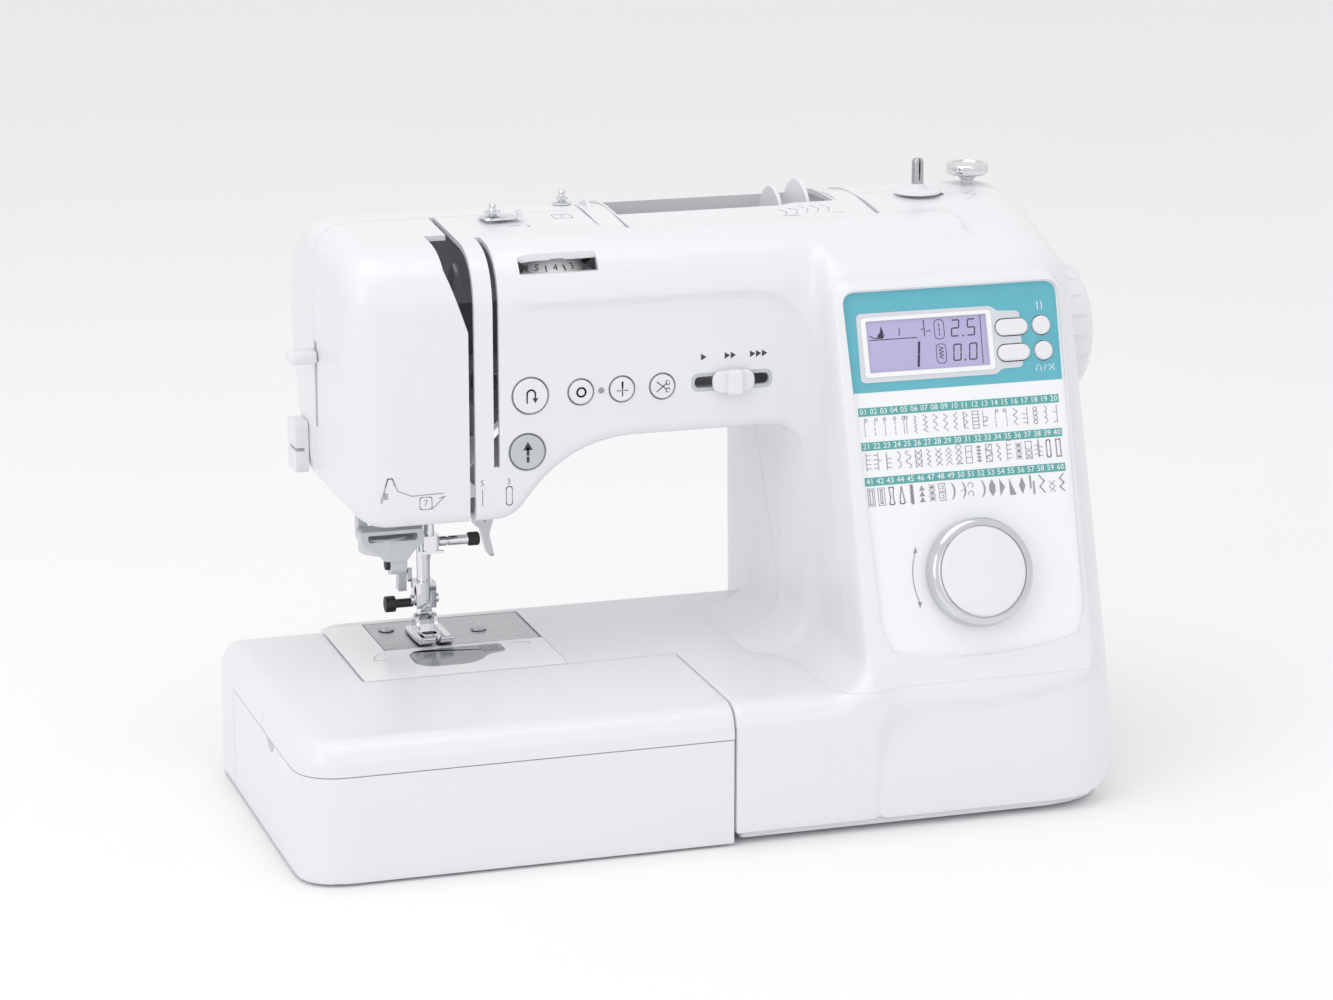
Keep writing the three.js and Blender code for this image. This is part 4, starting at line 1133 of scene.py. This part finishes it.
def make_dial_and_keys():
    profile = [(0, -6), (7, -6), (7, 0.5), (27.4, 0.5), (28.2, 1.2), (28.5, 2.2), (28.5, 7.6),
               (28.1, 8.8), (27.2, 9.8), (25.8, 10.5), (24.3, 10.7), (23.9, 10.3), (23.8, 9.6),
               (0, 9.6)]
    ring = on_panel(lathe("dial_ring", "z", DIAL, profile, 128))
    finish_piece(smooth(ring, 50), "selection_dial", SATIN_RING)
    profile = [(0, 9.4), (23.5, 9.4), (23.5, 10.3), (23.1, 10.9), (21.5, 11.2), (12, 11.5),
               (0, 11.6)]
    face = on_panel(lathe("dial_face", "z", DIAL, profile, 128))
    add_piece(smooth(face, 50), "selection_dial", WHITE)
    for node, place in zip(KEY_NODES, KEY_PLACES):
        key = on_panel(prism(node + "_cap", "z", pill(*place), -4.5, 1.9))
        finish_piece(bevel(key, 1.2, 5), node)


# ------------------------------------------------ controls on the arm
def make_buttons():
    for node in ARM_BUTTONS:
        centre, radius = round_size(node)
        front = ARM_FRONT - 1.4
        profile = [(0, front + 0.35), (radius * 0.6, front + 0.25), (radius - 1.2, front),
                   (radius - 0.5, front + 0.1), (radius - 0.1, front + 0.5), (radius, front + 1.1),
                   (radius, ARM_FRONT + 5), (0, ARM_FRONT + 5)]
        cap = lathe(node + "_cap", "y", centre, profile, 72)
        finish_piece(smooth(cap, 60), node, BUTTON_GREY if node == "start_button" else None)
    button_plane = (Matrix.Translation((0, (ARM_FRONT - 1.15) * MM, 0))
                    @ Matrix.Rotation(math.pi / 2, 4, "X"))

    def start(ink, a, b):
        ink.fill([(a - 2.6, b + 1.2), (a + 2.6, b + 1.2), (a, b + 5.6)])
        ink.stroke([(a, b + 2), (a, b - 1)], 1.5)
        ink.stroke([(a, b - 3), (a, b - 4.6)], 1.5)

    def reverse(ink, a, b):
        ink.stroke(arc(a + 0.2, b + 1, 2.2, 0, 180, 12), 0.8)
        ink.stroke([(a - 2, b + 1), (a - 2, b - 3.4)], 0.8)
        ink.stroke([(a + 2.4, b + 1), (a + 2.4, b - 1.4)], 0.8)
        ink.fill([(a + 0.8, b - 1.2), (a + 4, b - 1.2), (a + 2.4, b - 3.8)])

    def ring(ink, a, b):
        ink.stroke(arc(a, b, 2.3, 0, 360, 25), 0.9)

    def needle(ink, a, b):
        ink.stroke([(a, b + 4), (a, b - 3.4)], 0.6)
        ink.stroke([(a - 3, b - 0.6), (a - 1, b - 0.6)], 0.4)
        ink.stroke([(a + 1, b - 0.6), (a + 3, b - 0.6)], 0.4)
        ink.fill([(a - 0.6, b + 4), (a + 0.6, b + 4), (a + 0.4, b + 1), (a - 0.4, b + 1)])

    def scissors(ink, a, b):
        ink.stroke([(a - 3.2, b + 2.6), (a + 1.8, b - 1.4)], 0.5)
        ink.stroke([(a - 3.2, b - 2.6), (a + 1.8, b + 1.4)], 0.5)
        ink.stroke(arc(a + 2.8, b + 2, 1.1, 0, 360, 12), 0.4)
        ink.stroke(arc(a + 2.8, b - 2, 1.1, 0, 360, 12), 0.4)

    for node, draw in zip(ARM_BUTTONS, (reverse, start, ring, needle, scissors)):
        (a, b), _ = round_size(node)
        ink = Print(0.1)
        draw(ink, a, b)
        ink.place(node + "_icon", node, INK, button_plane)

    # A fine dark ring of painted shade lies round each button, standing for the shade in the gap
    # sunk round it.
    for node in ARM_BUTTONS:
        centre, radius = round_size(node)
        profile = [(radius + 0.5, ARM_FRONT - 0.05), (radius + 0.95, ARM_FRONT - 0.05),
                   (radius + 0.95, ARM_FRONT + 1), (radius + 0.5, ARM_FRONT + 1)]
        groove = lathe(node + "_ring", "y", centre, profile, 72)
        add_piece(smooth(groove, 60), "front_casing", SEAM_SHADE)


def make_speed_slider():
    """The slider in its rim, its three arrows and the status lamp."""
    lamp = lathe("status_lamp", "y", (-56, 223),
                 [(0, ARM_FRONT - 0.7), (1.0, ARM_FRONT - 0.6), (1.6, ARM_FRONT - 0.2),
                  (1.7, ARM_FRONT + 1.5), (0, ARM_FRONT + 1.5)], 32)
    add_piece(smooth(lamp, 50), "front_casing", INK_GREY)
    speed = Print(0.12)
    for first, count in ((-1.5, 1), (11.5, 2), (25.5, 3)):
        for i in range(count):
            a = first + i * 3.3
            speed.fill([(a, 235.2), (a + 2.9, 237), (a, 238.8)])
    speed.place("speed_arrows", "front_casing", INK, ARM_PLANE)

    slot = rectangle(-7, 38, SLIDER_Z - 5, SLIDER_Z + 5, 4.8)
    rim = prism("slider_rim", "y", slot, ARM_FRONT - 0.15, ARM_FRONT + 2.4)
    cut(rim,
        prism("hole", "y", rectangle(-5, 36, SLIDER_Z - 3, SLIDER_Z + 3, 2.9), ARM_FRONT - 3,
              ARM_FRONT + 9))
    add_piece(bevel(rim, 0.6, 3), "front_casing", BUTTON_GREY)
    rest, z = SLIDER_REST_X, SLIDER_Z
    knob = prism("slider_knob", "y", rectangle(rest - 11.5, rest + 11.5, z - 6, z + 6, 5.6, 12),
                 ARM_FRONT - 4.6, ARM_FRONT - 0.4)
    bevel(knob, 1.6, 5)
    wing = prism("slider_wing", "y", rectangle(rest - 4.2, rest + 4.2, z - 6.8, z + 6.8, 2.4, 8),
                 ARM_FRONT - 8, ARM_FRONT - 2.2)
    bevel(wing, 1.8, 5)
    stem = block("slider_stem", (rest - 4, rest + 4), (ARM_FRONT - 1, ARM_FRONT + 6),
                 (z - 2.4, z + 2.4))
    join(knob, wing, stem)
    finish_piece(smooth(knob, 40), "speed_slider")


# ------------------------------------------------ the attachment and its lid
NOTCH_Y = -52


def make_attachment():
    grid = Grid((-246, -132, -4), (-6, 92, 82), 2.0)
    plan_outline = rounded([
        (attachment_low[0], FRONT, 26), (SEAM_X, FRONT), (SEAM_X, FREE_ARM_NEAR - 0.4),
        (ARM_LEFT - 0.8, FREE_ARM_NEAR - 0.4), (ARM_LEFT - 0.8, 84),
        (attachment_low[0], 84, 14)], 12)
    x, y, z = grid.along("x"), grid.along("y"), grid.along("z")
    outer_plan = rounded([(attachment_low[0], FRONT, 26), (400, FRONT), (400, 84),
                          (attachment_low[0], 84, 14)], 12)
    field = soft_max(grid.extruded("z", outer_plan), z - BED_TOP, 16)
    field = np.maximum(field, grid.extruded("z", plan_outline))
    field = np.maximum(field, attachment_low[2] - z)
    field = np.maximum(field, x - SEAM_X)
    outer = grid.surface("attachment_skin", field)
    hollow = prism("hollow", "z", rounded([
        (attachment_low[0] + 3, FRONT + 3, 23), (SEAM_X - 2.6, FRONT + 3),
        (SEAM_X - 2.6, FREE_ARM_NEAR - 3), (ARM_LEFT - 3.4, FREE_ARM_NEAR - 3),
        (ARM_LEFT - 3.4, 81), (attachment_low[0] + 3, 81, 11)], 12), 4.4, BED_TOP - 13)
    upper = prism("hollow", "z", rounded([
        (attachment_low[0] + 9, FRONT + 9, 17), (SEAM_X - 2.6, FRONT + 9),
        (SEAM_X - 2.6, FREE_ARM_NEAR - 3), (ARM_LEFT - 3.4, FREE_ARM_NEAR - 3),
        (ARM_LEFT - 3.4, 75), (attachment_low[0] + 9, 75, 9)], 12), BED_TOP - 15, BED_TOP - 3)
    cut(outer, hollow, upper)
    lid_region = [block("lid_region", (-300, SEAM_X - 0.9), (-300, 39.9), (-5, 57.2))]
    wall = prism("lid_wall", "z", rounded([
        (attachment_low[0] + 2.6, FRONT + 2.6, 23.4), (SEAM_X + 5, FRONT + 2.6), (SEAM_X + 5, 200),
        (attachment_low[0] + 2.6, 200)], 12), -5, 90)
    lid = keep(copy_of(outer, "lid_skin"), *lid_region)
    cut(lid, copy_of(wall, "w"))
    notch = prism("notch", "x", circle(NOTCH_Y, 61, 10, 40), attachment_low[0] - 3,
                  attachment_low[0] + 6)
    cut(lid, notch)
    band = block("band", (-300, SEAM_X + 1), (-300, 40.5), (-5, 57.7))
    cut(band, copy_of(wall, "w"))
    cut(outer, band)
    groove = block("groove", (attachment_low[0] - 2, attachment_low[0] + 1.0), (-32.6, -31.8),
                   (57, BED_TOP - 7))
    cut(outer, groove)
    bpy.data.objects.remove(wall)
    finish_piece(smooth(outer, 38), "attachment")
    finish_piece(smooth(lid, 38), "compartment_lid")


# ------------------------------------------------ base tray, stitch plate and its marks
def make_base_tray():
    """The closing tray under the tower, with a tongue under the free arm."""
    low, high = node_box("base_tray")
    left = SEAM_X + 4
    floor = prism("base_tray_floor", "z", rounded([
        (left, low[1], 3), (high[0], low[1], 46), (high[0], high[1], 26), (42, high[1], 8),
        (42, 86, 4), (left, 86, 4)], 12),
        low[2], BED_LOW - 0.3)
    tongue = prism("base_tray_tongue", "z", rectangle(low[0], SEAM_X + 20, -16.8, 85, 10), low[2],
                   high[2])
    bevel(join(floor, tongue), 0.7, 3)
    finish_piece(floor, "base_tray")
    for i in range(6):
        rib = block("tongue_rib", (-106 + i * 14, -104.8 + i * 14), (-8, 78),
                    (high[2] - 0.6, high[2] + 0.5))
        add_piece(bevel(rib, 0.3, 2), "base_tray")


def make_surround():
    """The white inlay in front of the metal plate, with the bobbin cover's opening."""
    top = BED_TOP
    inlay = prism("plate_inlay", "z",
                  [(-183, FREE_ARM_NEAR), (-72.7, FREE_ARM_NEAR), (-72.7, 28), (-160.1, 28),
                   (-160.1, 80), (-183, 80)], top - 2.2, top)
    lens = rounded([(-149.8, -7.8, 12), (-118, -7.8, 10), (-108.8, 5.6, 4), (-97.6, 9.6, 4),
                    (-97.6, 24.4, 3), (-140, 24.4, 8),
                    (-149.8, 20.4, 8)], 8)
    cut(inlay, prism("lens_room", "z", lens, top - 9, top + 9))
    finish_piece(bevel(inlay, 0.35, 2), "plate_surround", PRINT_WHITE)


def make_plate():
    guide, dark = Print(0.04), Print(0.04)
    for i, y in enumerate(range(31, 60, 4)):
        guide.stroke([(-114 + (i % 2) * 2, y), (-82, y)], 0.5)
    for x in range(-110, -82, 4):
        guide.stroke([(x, 66), (x, 68.5)], 0.3)
    for i, words in enumerate(("3", "4", "5", "6")):
        guide.text(words, -106 + i * 7, 62.6, 3)
    guide.place("plate_lines", "needle_plate", INK_WHITE, BED_PLANE)
    dark.stroke(arc(-160, 14, 9, 95, 200, 16), 0.4)
    dark.stroke([(-168.4, 11), (-163, 11)], 0.4)
    dark.stroke([(-92, 22), (-82, 22), (-82, 17)], 0.4)
    dark.place("surround_marks", "plate_surround", INK_GREY, BED_PLANE)


def make_threading_marks():
    ink = Print(0.1)
    ink.text("8", -171.6, 174.8, 5)
    ink.stroke([(-174.2, 171.8), (-170.6, 184.2), (-168.2, 184.2), (-165.4, 177.4), (-158, 174.2),
                (-141, 174.6)], 0.45)
    ink.stroke([(-171.9, 180.4), (-170.6, 184.2), (-168.2, 184.2), (-167, 180.4)], 0.45)
    ink.stroke(rectangle(-153.8, -147.4, 166.6, 173.0, 1.2, 4), 0.4, closed=True)
    ink.text("7", -150.6, 169.8, 4.6)
    ink.stroke([(-147, 166.8), (-140.6, 172.8)], 0.45)
    ink.stroke([(-140.6, 172.8), (-143.4, 172.0)], 0.45)
    ink.place("threading_marks_left", "face_cover", INK_GREY, ARM_PLANE)
    ink = Print(0.1)
    ink.text("5", -120.4, 178, 4.6)
    ink.stroke([(-120.4, 174.6), (-120.4, 166)], 0.45)
    ink.text("3", -106.2, 178, 4.6)
    ink.stroke(rectangle(-107.6, -104.4, 165.4, 175.4, 1.6, 5), 0.45, closed=True)
    ink.place("threading_marks_right", "front_casing", INK_GREY, ARM_PLANE)


# ------------------------------------------------ top of the machine
def make_top(front):
    """The tension window's scale, its two flags and the printed winding path."""
    low, high = node_box("tension_dial")
    x, y, _ = middle_of("tension_dial")
    radius = (high[0] - low[0]) / 2
    profile = [(0, low[2]), (radius, low[2]), (radius, low[2] + 1), (radius - 5.4, high[2] - 0.3),
               (radius - 6, high[2]), (0, high[2])]
    dial = lathe("tension_scale", "z", (x, y), profile, 120)
    finish_piece(smooth(dial, 35), "tension_dial", PRINT_WHITE)
    for i, words in enumerate(("5", "4", "3")):
        numbers = Print(0.1)
        numbers.text(words, 0, 2.6, 5.6)
        numbers.stroke([(-5, 1), (-5, 4)], 0.5)
        cone = math.atan2(high[2] - low[2] - 1.3, 5.4)
        turn = Matrix.Rotation(math.radians(-24 + 24 * i), 4, "Z")
        lean = Matrix.Translation((0, -radius * MM, (low[2] + 1) * MM)) @ Matrix.Rotation(cone, 4,
            "X")
        place = Matrix.Translation((x * MM, y * MM, 0)) @ turn @ lean
        numbers.place("tension_number_" + words, "tension_dial", INK, place)
    for side in (-1, 1):
        flag = prism("tension_flag", "y",
                     [(-77.5 + side * 20.6, 285), (-77.5 + side * 20.6, 292),
                      (-77.5 + side * 15.5, 288.6)], -22, -13.4)
        add_piece(flag, "front_casing", BLACK)

    ink = Print(0.08)
    for a in (60, 66, 72, 78, 84):
        ink.stroke([(a, 14), (a + 3, 20), (a, 26)], 0.4)
    ink.stroke([(58, 12), (92, 12)], 0.4)
    ink.stroke([(168, 22), (176, 30), (170, 34), (178, 40)], 0.4)
    ink.stroke(rectangle(-62, -52, 34, 42, 1.5, 4), 0.4, closed=True)
    ink.text("1", -57, 38, 5)
    ink.text("2", -80, 22, 5)
    ink.stroke([(-90, 24), (-84, 24)], 0.4)
    ink.place("top_marks", "front_casing", INK_GREY, TOP_PLANE, front)


def make_thread_guides():
    """The two chrome guides on the top, and the small fin between them."""
    top = GUIDE_SEAT_Z
    for x, y, radius in ((-95, 38, 7.4), (-49, 66, 5.2)):
        profile = [(0, top - 1), (2, top - 1), (2, top + 0.6), (radius, top + 0.6),
                   (radius, top + 1.3), (2.6, top + 1.9), (1.9, top + 2.6),
                   (radius * 0.62, top + 3.3), (radius * 0.62, top + 4.1), (2.2, top + 4.6),
                   (1.6, top + 6), (2.3, top + 7), (1.6, top + 8),
                   (0, top + 8.4)]
        guide = lathe("thread_guide", "z", (x, y), profile, 56)
        finish_piece(smooth(guide, 40), "pretension_guide", replaces=x == -95)
    plate = prism("guide_plate", "z",
                  rounded([(-101, 29, 2), (-82, 31, 2), (-80.5, 37, 1.5), (-88, 46, 3),
                           (-101, 46, 3)], 5),
                  top + 0.1, top + 0.9)
    add_piece(bevel(plate, 0.25, 2), "pretension_guide")
    hook = prism("guide_hook", "x",
                 rounded([(29, top + 0.2), (29, top + 4.6, 1.2), (34, top + 4.6, 0.8),
                          (34, top + 3.4, 0.4), (30.2, top + 3.4, 0.8),
                                            (30.2, top + 0.2)], 5), -84, -81)
    add_piece(bevel(hook, 0.3, 2), "pretension_guide")
    fin = prism("top_fin", "x",
                rounded([(50, top - 0.8), (60, top + 4.2, 1.2), (74, top - 1.6)], 5), -38, -36.4)
    add_piece(bevel(fin, 0.5, 3), "rear_casing")


def make_winder():
    x, y = WINDER
    profile = [(0, 296), (4, 296), (4, 304.8), (12.4, 304.8), (13, 305.3), (12.6, 306.3),
               (5, 307.2), (4.2, 308.6), (3.9, 310),
               (0, 310)]
    finish_piece(smooth(lathe("winder_base", "z", (x, y), profile, 72), 40), "winder_shaft",
                 WHITE_TRIM)
    profile = [(0, 309.6), (3.2, 309.6), (3.2, 321.6), (2.9, 322.8), (2.2, 323.7), (0, 324)]
    pin = lathe("winder_pin", "z", (x, y), profile, 48)
    groove = block("groove", (x - 0.5, x + 0.5), (y - 5, y + 5), (316, 330))
    add_piece(smooth(cut(pin, groove), 40), "winder_shaft", STEEL)
    spring = block("winder_spring", (x - 0.35, x + 0.35), (y - 3.5, y + 3.5), (312, 321))
    add_piece(bevel(spring, 0.2, 2), "winder_shaft", BLACK)


def make_winder_stop():
    profile = [(0, 298), (3.4, 298), (3.4, 306), (5, 307.5), (5, 309.4), (0, 309.4)]
    finish_piece(smooth(lathe("stop_stem", "z", WINDER_STOP, profile, 48), 40), "winder_stop",
                 WHITE_TRIM)
    profile = [(0, 309.2), (10.6, 309.2), (11.5, 309.8), (11.8, 310.6), (11.8, 313.8),
               (11.3, 314.8), (10.2, 315.3), (8.8, 315.3), (8.4, 314.7),
               (0, 314.5)]
    add_piece(smooth(lathe("stop_disc", "z", WINDER_STOP, profile, 96), 40), "winder_stop", CHROME)


def make_handwheel():
    """A rimmed wheel with a ring of finger grooves and a dished face."""
    _, y, z = middle_of("handwheel")
    _, (face, _, _) = node_box("handwheel")
    profile = [(0, 209.4), (12, 209.4), (12, 208.7), (33, 208.7), (34.6, 209.6), (36, 212),
               (36.5, 215), (36.5, 227), (36, 230.5), (34.4, 233.6), (31, 236), (26.5, 237.6),
               (24, 237.2), (21, 236.6), (14, 237), (10, 238.4), (6, 239.6),
               (0, face)]
    wheel = lathe("handwheel_rim", "x", (y, z), profile, 120)
    grooves = []
    for i in range(20):
        turn = 2 * math.pi * i / 20
        grooves.append(prism("groove", "x",
                             circle(y + 37.6 * math.cos(turn), z + 37.6 * math.sin(turn), 2.2, 20),
                             214, 245))
    finish_piece(smooth(cut(wheel, *grooves), 40), "handwheel")


def make_threader():
    """A lever outside the head, and under it a rounded cradle with a swinging hook holder."""
    lever = prism("threader_lever", "x", rectangle(39, 53, 231, 238, 3.2, 8), HEAD_LEFT - 15,
                  HEAD_LEFT - 0.4)
    finish_piece(bevel(lever, 1.6, 5), "needle_threader", WHITE_TRIM)
    neck = block("threader_neck", (HEAD_LEFT - 1, HEAD_LEFT + 12), (44.3, 47.7), (231.6, 237.4))
    rail = block("threader_rail", (HEAD_LEFT + 20, HEAD_LEFT + 25), (41, 49), (138, 237.4))
    bridge = block("threader_bridge", (HEAD_LEFT + 8, HEAD_LEFT + 23), (43.5, 48.5), (231.8, 237.2))
    join(neck, rail, bridge)
    add_piece(bevel(neck, 0.5, 2), "needle_threader", GREY)
    cradle = prism("threader_cradle", "y", rounded([
        (-172, 141, 3), (-172, 133, 5), (-163, 130.5, 4), (-160, 124, 3), (-146, 124, 3),
        (-143, 130, 4), (-137.6, 132.5, 1.5),
        (-137.6, 141, 2)], 6), 27, 41)
    hollow = prism("hollow", "y",
                   rounded([(-168, 139, 1), (-168, 135, 2), (-141, 135, 2), (-141, 139, 1)], 4),
                   20, 38)
    cut(cradle, hollow)
    add_piece(bevel(cradle, 1.2, 4), "needle_threader", GREY)
    ring = lathe("threader_ring", "z", (-157, 40),
                 [(9, 127), (12.5, 127), (13.2, 128), (13.2, 135), (12.5, 136), (9, 136)], 64)
    add_piece(smooth(ring, 40), "needle_threader", GREY)
    holder = prism("threader_holder", "x",
                   rounded([(30, 124.5, 1), (30, 117, 3), (38, 113.5, 3), (43, 118, 2),
                            (43, 124.5, 1)], 6), -155, -146)
    add_piece(bevel(holder, 0.8, 3), "needle_threader", GREY)
    claw = prism("threader_claw", "x",
                 rounded([(31, 119, 1), (31, 112, 1), (34, 110, 1), (36, 117, 1)], 4),
                 -145.6, -143.4)
    add_piece(bevel(claw, 0.3, 2), "needle_threader", STEEL)
    pivot = lathe("threader_pivot", "x", (35, 120.5),
                  [(0, -157.4), (2.6, -157.4), (3, -157), (3, -154.6), (0, -154.6)], 40)
    add_piece(smooth(pivot, 40), "needle_threader", BLACK)


def make_clamp_screw():
    """The needle clamp's screw, with a knurled tip."""
    y, z = NEEDLE_Y, CLAMP_SCREW_Z
    stem = lathe("clamp_screw_stem", "x", (y, z),
                 [(0, -128.6), (1.2, -128.6), (1.2, -125.7), (2.3, -125.7), (2.7, -125.3),
                 (2.7, -121.6), (2.2, -121.2), (2.2, -120.6), (2.7, -120.2), (2.7, -109.2),
                 (0, -109.2)], 48)
    finish_piece(smooth(stem, 40), "needle_clamp_screw")
    tip = lathe("clamp_screw_tip", "x", (y, z),
                [(0, -109.4), (3.1, -109.4), (3.7, -108.8), (3.7, -103.7), (3.1, -103.1),
                 (0, -103)], 48)
    notches = []
    for t in np.arange(16) * math.pi / 8:
        across, up = y + 3.7 * math.cos(t), z + 3.7 * math.sin(t)
        notches.append(block("notch", (-109, -103.6), (across - 0.28, across + 0.28),
                             (up - 0.28, up + 0.28)))
    add_piece(smooth(cut(tip, *notches), 35), "needle_clamp_screw", BLACK)


def make_foot_holder():
    """A slotted shank, a yoke below it and a collar on each side."""
    shank = block("holder_shank", (NEEDLE_X - 5.5, NEEDLE_X + 5.5), (50, 62.5), (90, 104))
    slot = block("slot", (NEEDLE_X - 0.7, NEEDLE_X + 0.7), (45, 53), (93, 110))
    cut(shank,
        lathe("bore", "z", (NEEDLE_X, PRESSER_Y), [(0, 100.6), (3.7, 100.6), (3.7, 110), (0, 110)],
              40), slot)
    finish_piece(bevel(shank, 0.8, 3), "foot_holder")
    yoke = prism("holder_yoke", "x",
                 rounded([(50.4, 91.5, 1), (50.4, 86.8, 1.5), (53, 82.6, 1), (58, 82.6, 1),
                          (62, 87, 2), (62, 91.5, 1)], 5), NEEDLE_X - 3.2, NEEDLE_X + 3.2)
    hole = prism("pin_hole", "x", circle(*FOOT_PIN, 1.5, 24), NEEDLE_X - 20, NEEDLE_X + 20)
    bevel(cut(yoke, hole), 0.5, 2)
    add_piece(yoke, "foot_holder")
    for side in (-1, 1):
        collar = lathe("holder_collar", "x", (PRESSER_Y - 1.5, 94),
                       [(0, NEEDLE_X + side * 5.2), (2.6, NEEDLE_X + side * 5.2),
                        (2.6, NEEDLE_X + side * 7.6), (2, NEEDLE_X + side * 8),
                        (0, NEEDLE_X + side * 8)], 40)
        add_piece(smooth(collar, 40), "foot_holder")


def make_presser_foot():
    """A clip-on zigzag foot with turned-up toes, a slot, ears and a pin."""
    side_view = rounded([(24.8, 79.6, 0.6), (27.5, 75.9, 2.5), (62, 75.9, 1), (62, 77.6, 0.6),
                         (30, 77.8, 2), (26, 81, 0.6)], 6)
    sole = prism("foot_sole", "x", side_view, NEEDLE_X - 10, NEEDLE_X + 10)
    plan = prism("plan", "z",
                 rounded([(NEEDLE_X - 8.5, 24, 3), (NEEDLE_X + 8.5, 24, 3), (NEEDLE_X + 10, 40, 4),
                          (NEEDLE_X + 10, 62, 3), (NEEDLE_X - 10, 62, 3),
                          (NEEDLE_X - 10, 40, 4)], 6), 70, 90)
    keep(sole, plan)
    eye = prism("eye", "z", rectangle(NEEDLE_X - 4, NEEDLE_X + 4, 41.5, 47.5, 2.4), 70, 90)
    gap = prism("gap", "z", rectangle(NEEDLE_X - 1.3, NEEDLE_X + 1.3, 20, 36, 1.2), 70, 90)
    cut(sole, eye, gap)
    finish_piece(bevel(sole, 0.4, 2), "presser_foot")
    for side in (-1, 1):
        ear = prism("foot_ear", "x",
                    rounded([(49, 77.4), (49, 81, 2), (52, 86.4, 2), (57, 86.4, 2), (60, 81, 2),
                             (60, 77.4)], 6),
                    NEEDLE_X + side * 5 - 1.1, NEEDLE_X + side * 5 + 1.1)
        add_piece(bevel(ear, 0.35, 2), "presser_foot")
        rail = prism("foot_rail", "z",
                     rectangle(NEEDLE_X + side * 6.6 - 1.6, NEEDLE_X + side * 6.6 + 1.6, 29, 49.4,
                               1.5), 77.4, 79)
        add_piece(bevel(rail, 0.6, 3), "presser_foot")
    pin = lathe("foot_pin", "x", FOOT_PIN,
                [(0, NEEDLE_X - 6.6), (0.9, NEEDLE_X - 6.6), (1.1, NEEDLE_X - 6.3),
                 (1.1, NEEDLE_X + 6.3), (0.9, NEEDLE_X + 6.6), (0, NEEDLE_X + 6.6)], 32)
    add_piece(smooth(pin, 40), "presser_foot")


def make_presser_lifter():
    blade = rounded([(-104, 180, 4), (-104, 164, 2), (-98.5, 134, 1.5), (-99.5, 129.5, 1.2),
                     (-97, 128.6, 1), (-94.6, 124, 2), (-91.5, 111.4, 2.2), (-88.4, 112, 2),
                     (-91.2, 124, 2), (-88.5, 133, 1.2), (-91, 134, 1.2), (-94, 130, 1),
                     (-96, 164, 2), (-96, 180, 4)], 6)
    lifter = prism("lifter_blade", "y", blade, 66.2, 73.8)
    finish_piece(bevel(lifter, 1.3, 4), "presser_lifter", WHITE_TRIM)


def make_bobbin_cover():
    """A clear cover with a latch."""
    lens = prism("bobbin_lens", "z",
                 rounded([(-149.4, -7.4, 12), (-118, -7.4, 10), (-109, 6, 4), (-98, 10, 4),
                          (-98, 24, 3), (-140, 24, 8),
                                             (-149.4, 20, 8)], 8), BED_TOP - 1.5, BED_TOP - 0.15)
    finish_piece(bevel(lens, 0.5, 3), "bobbin_cover")
    latch = prism("cover_latch", "z", rectangle(-110, -100, 12.5, 21.5, 1.5), BED_TOP - 0.5,
                  BED_TOP + 0.1)
    add_piece(bevel(latch, 0.2, 2), "bobbin_cover", INK_GREY)


# ------------------------------------------------ camera, light and floor
def make_studio():
    camera = bpy.data.objects.new("camera", bpy.data.cameras.new("camera"))
    camera.location = (-0.6410, -1.9815, 0.6914)
    camera.rotation_euler = (math.radians(90 - 14.51), 0, math.radians(-17.64))
    camera.data.sensor_width = 36
    camera.data.lens = 108.67
    bpy.context.scene.collection.objects.link(camera)
    bpy.context.scene.camera = camera

    def lamp(name, place, aim, size, power):
        light = bpy.data.lights.new(name, "AREA")
        light.shape = "RECTANGLE"
        light.size, light.size_y = size
        light.energy = power
        holder = bpy.data.objects.new(name, light)
        holder.location = place
        direction = Vector(aim) - Vector(place)
        holder.rotation_euler = direction.to_track_quat("-Z", "Y").to_euler()
        bpy.context.scene.collection.objects.link(holder)

    lamp("softbox_top", (-0.3, -0.2, 1.9), (0, 0, 0.15), (1.8, 1.4), 8)
    lamp("softbox_left", (-1.7, -1.1, 1.0), (0, 0, 0.18), (1.1, 1.1), 5)
    lamp("softbox_front", (0.5, -2.2, 0.9), (0, 0, 0.15), (1.2, 0.8), 1.5)

    floor_shape = rectangle(-16000, 16000, -16000, 16000)
    floor = to_object("floor", [(a, b, 0) for a, b in floor_shape], [(0, 1, 2, 3)])
    floor.data.materials.append(procedural("pale_floor", (0.93, 0.93, 0.94), 0.7, tone=0.005,
                                           grain=3))

    world = bpy.data.worlds.new("studio")
    world.use_nodes = True
    world.node_tree.nodes["Background"].inputs["Color"].default_value = (1, 1, 1, 1)
    world.node_tree.nodes["Background"].inputs["Strength"].default_value = 0.86
    bpy.context.scene.world = world
    bpy.context.scene.view_settings.view_transform = "Standard"


# ------------------------------------------------ assembly
make_studio()
front_skin = make_casings()
make_panel_plate()
make_display()
make_display_figures()
make_panel_signs()
make_chart()
make_dial_and_keys()
make_buttons()
make_speed_slider()
make_attachment()
make_base_tray()
make_surround()
make_plate()
make_threading_marks()
make_top(front_skin)
make_thread_guides()
make_winder()
make_winder_stop()
make_handwheel()
make_threader()
make_clamp_screw()
make_foot_holder()
make_presser_foot()
make_presser_lifter()
make_bobbin_cover()
make_softened(MODELLED)
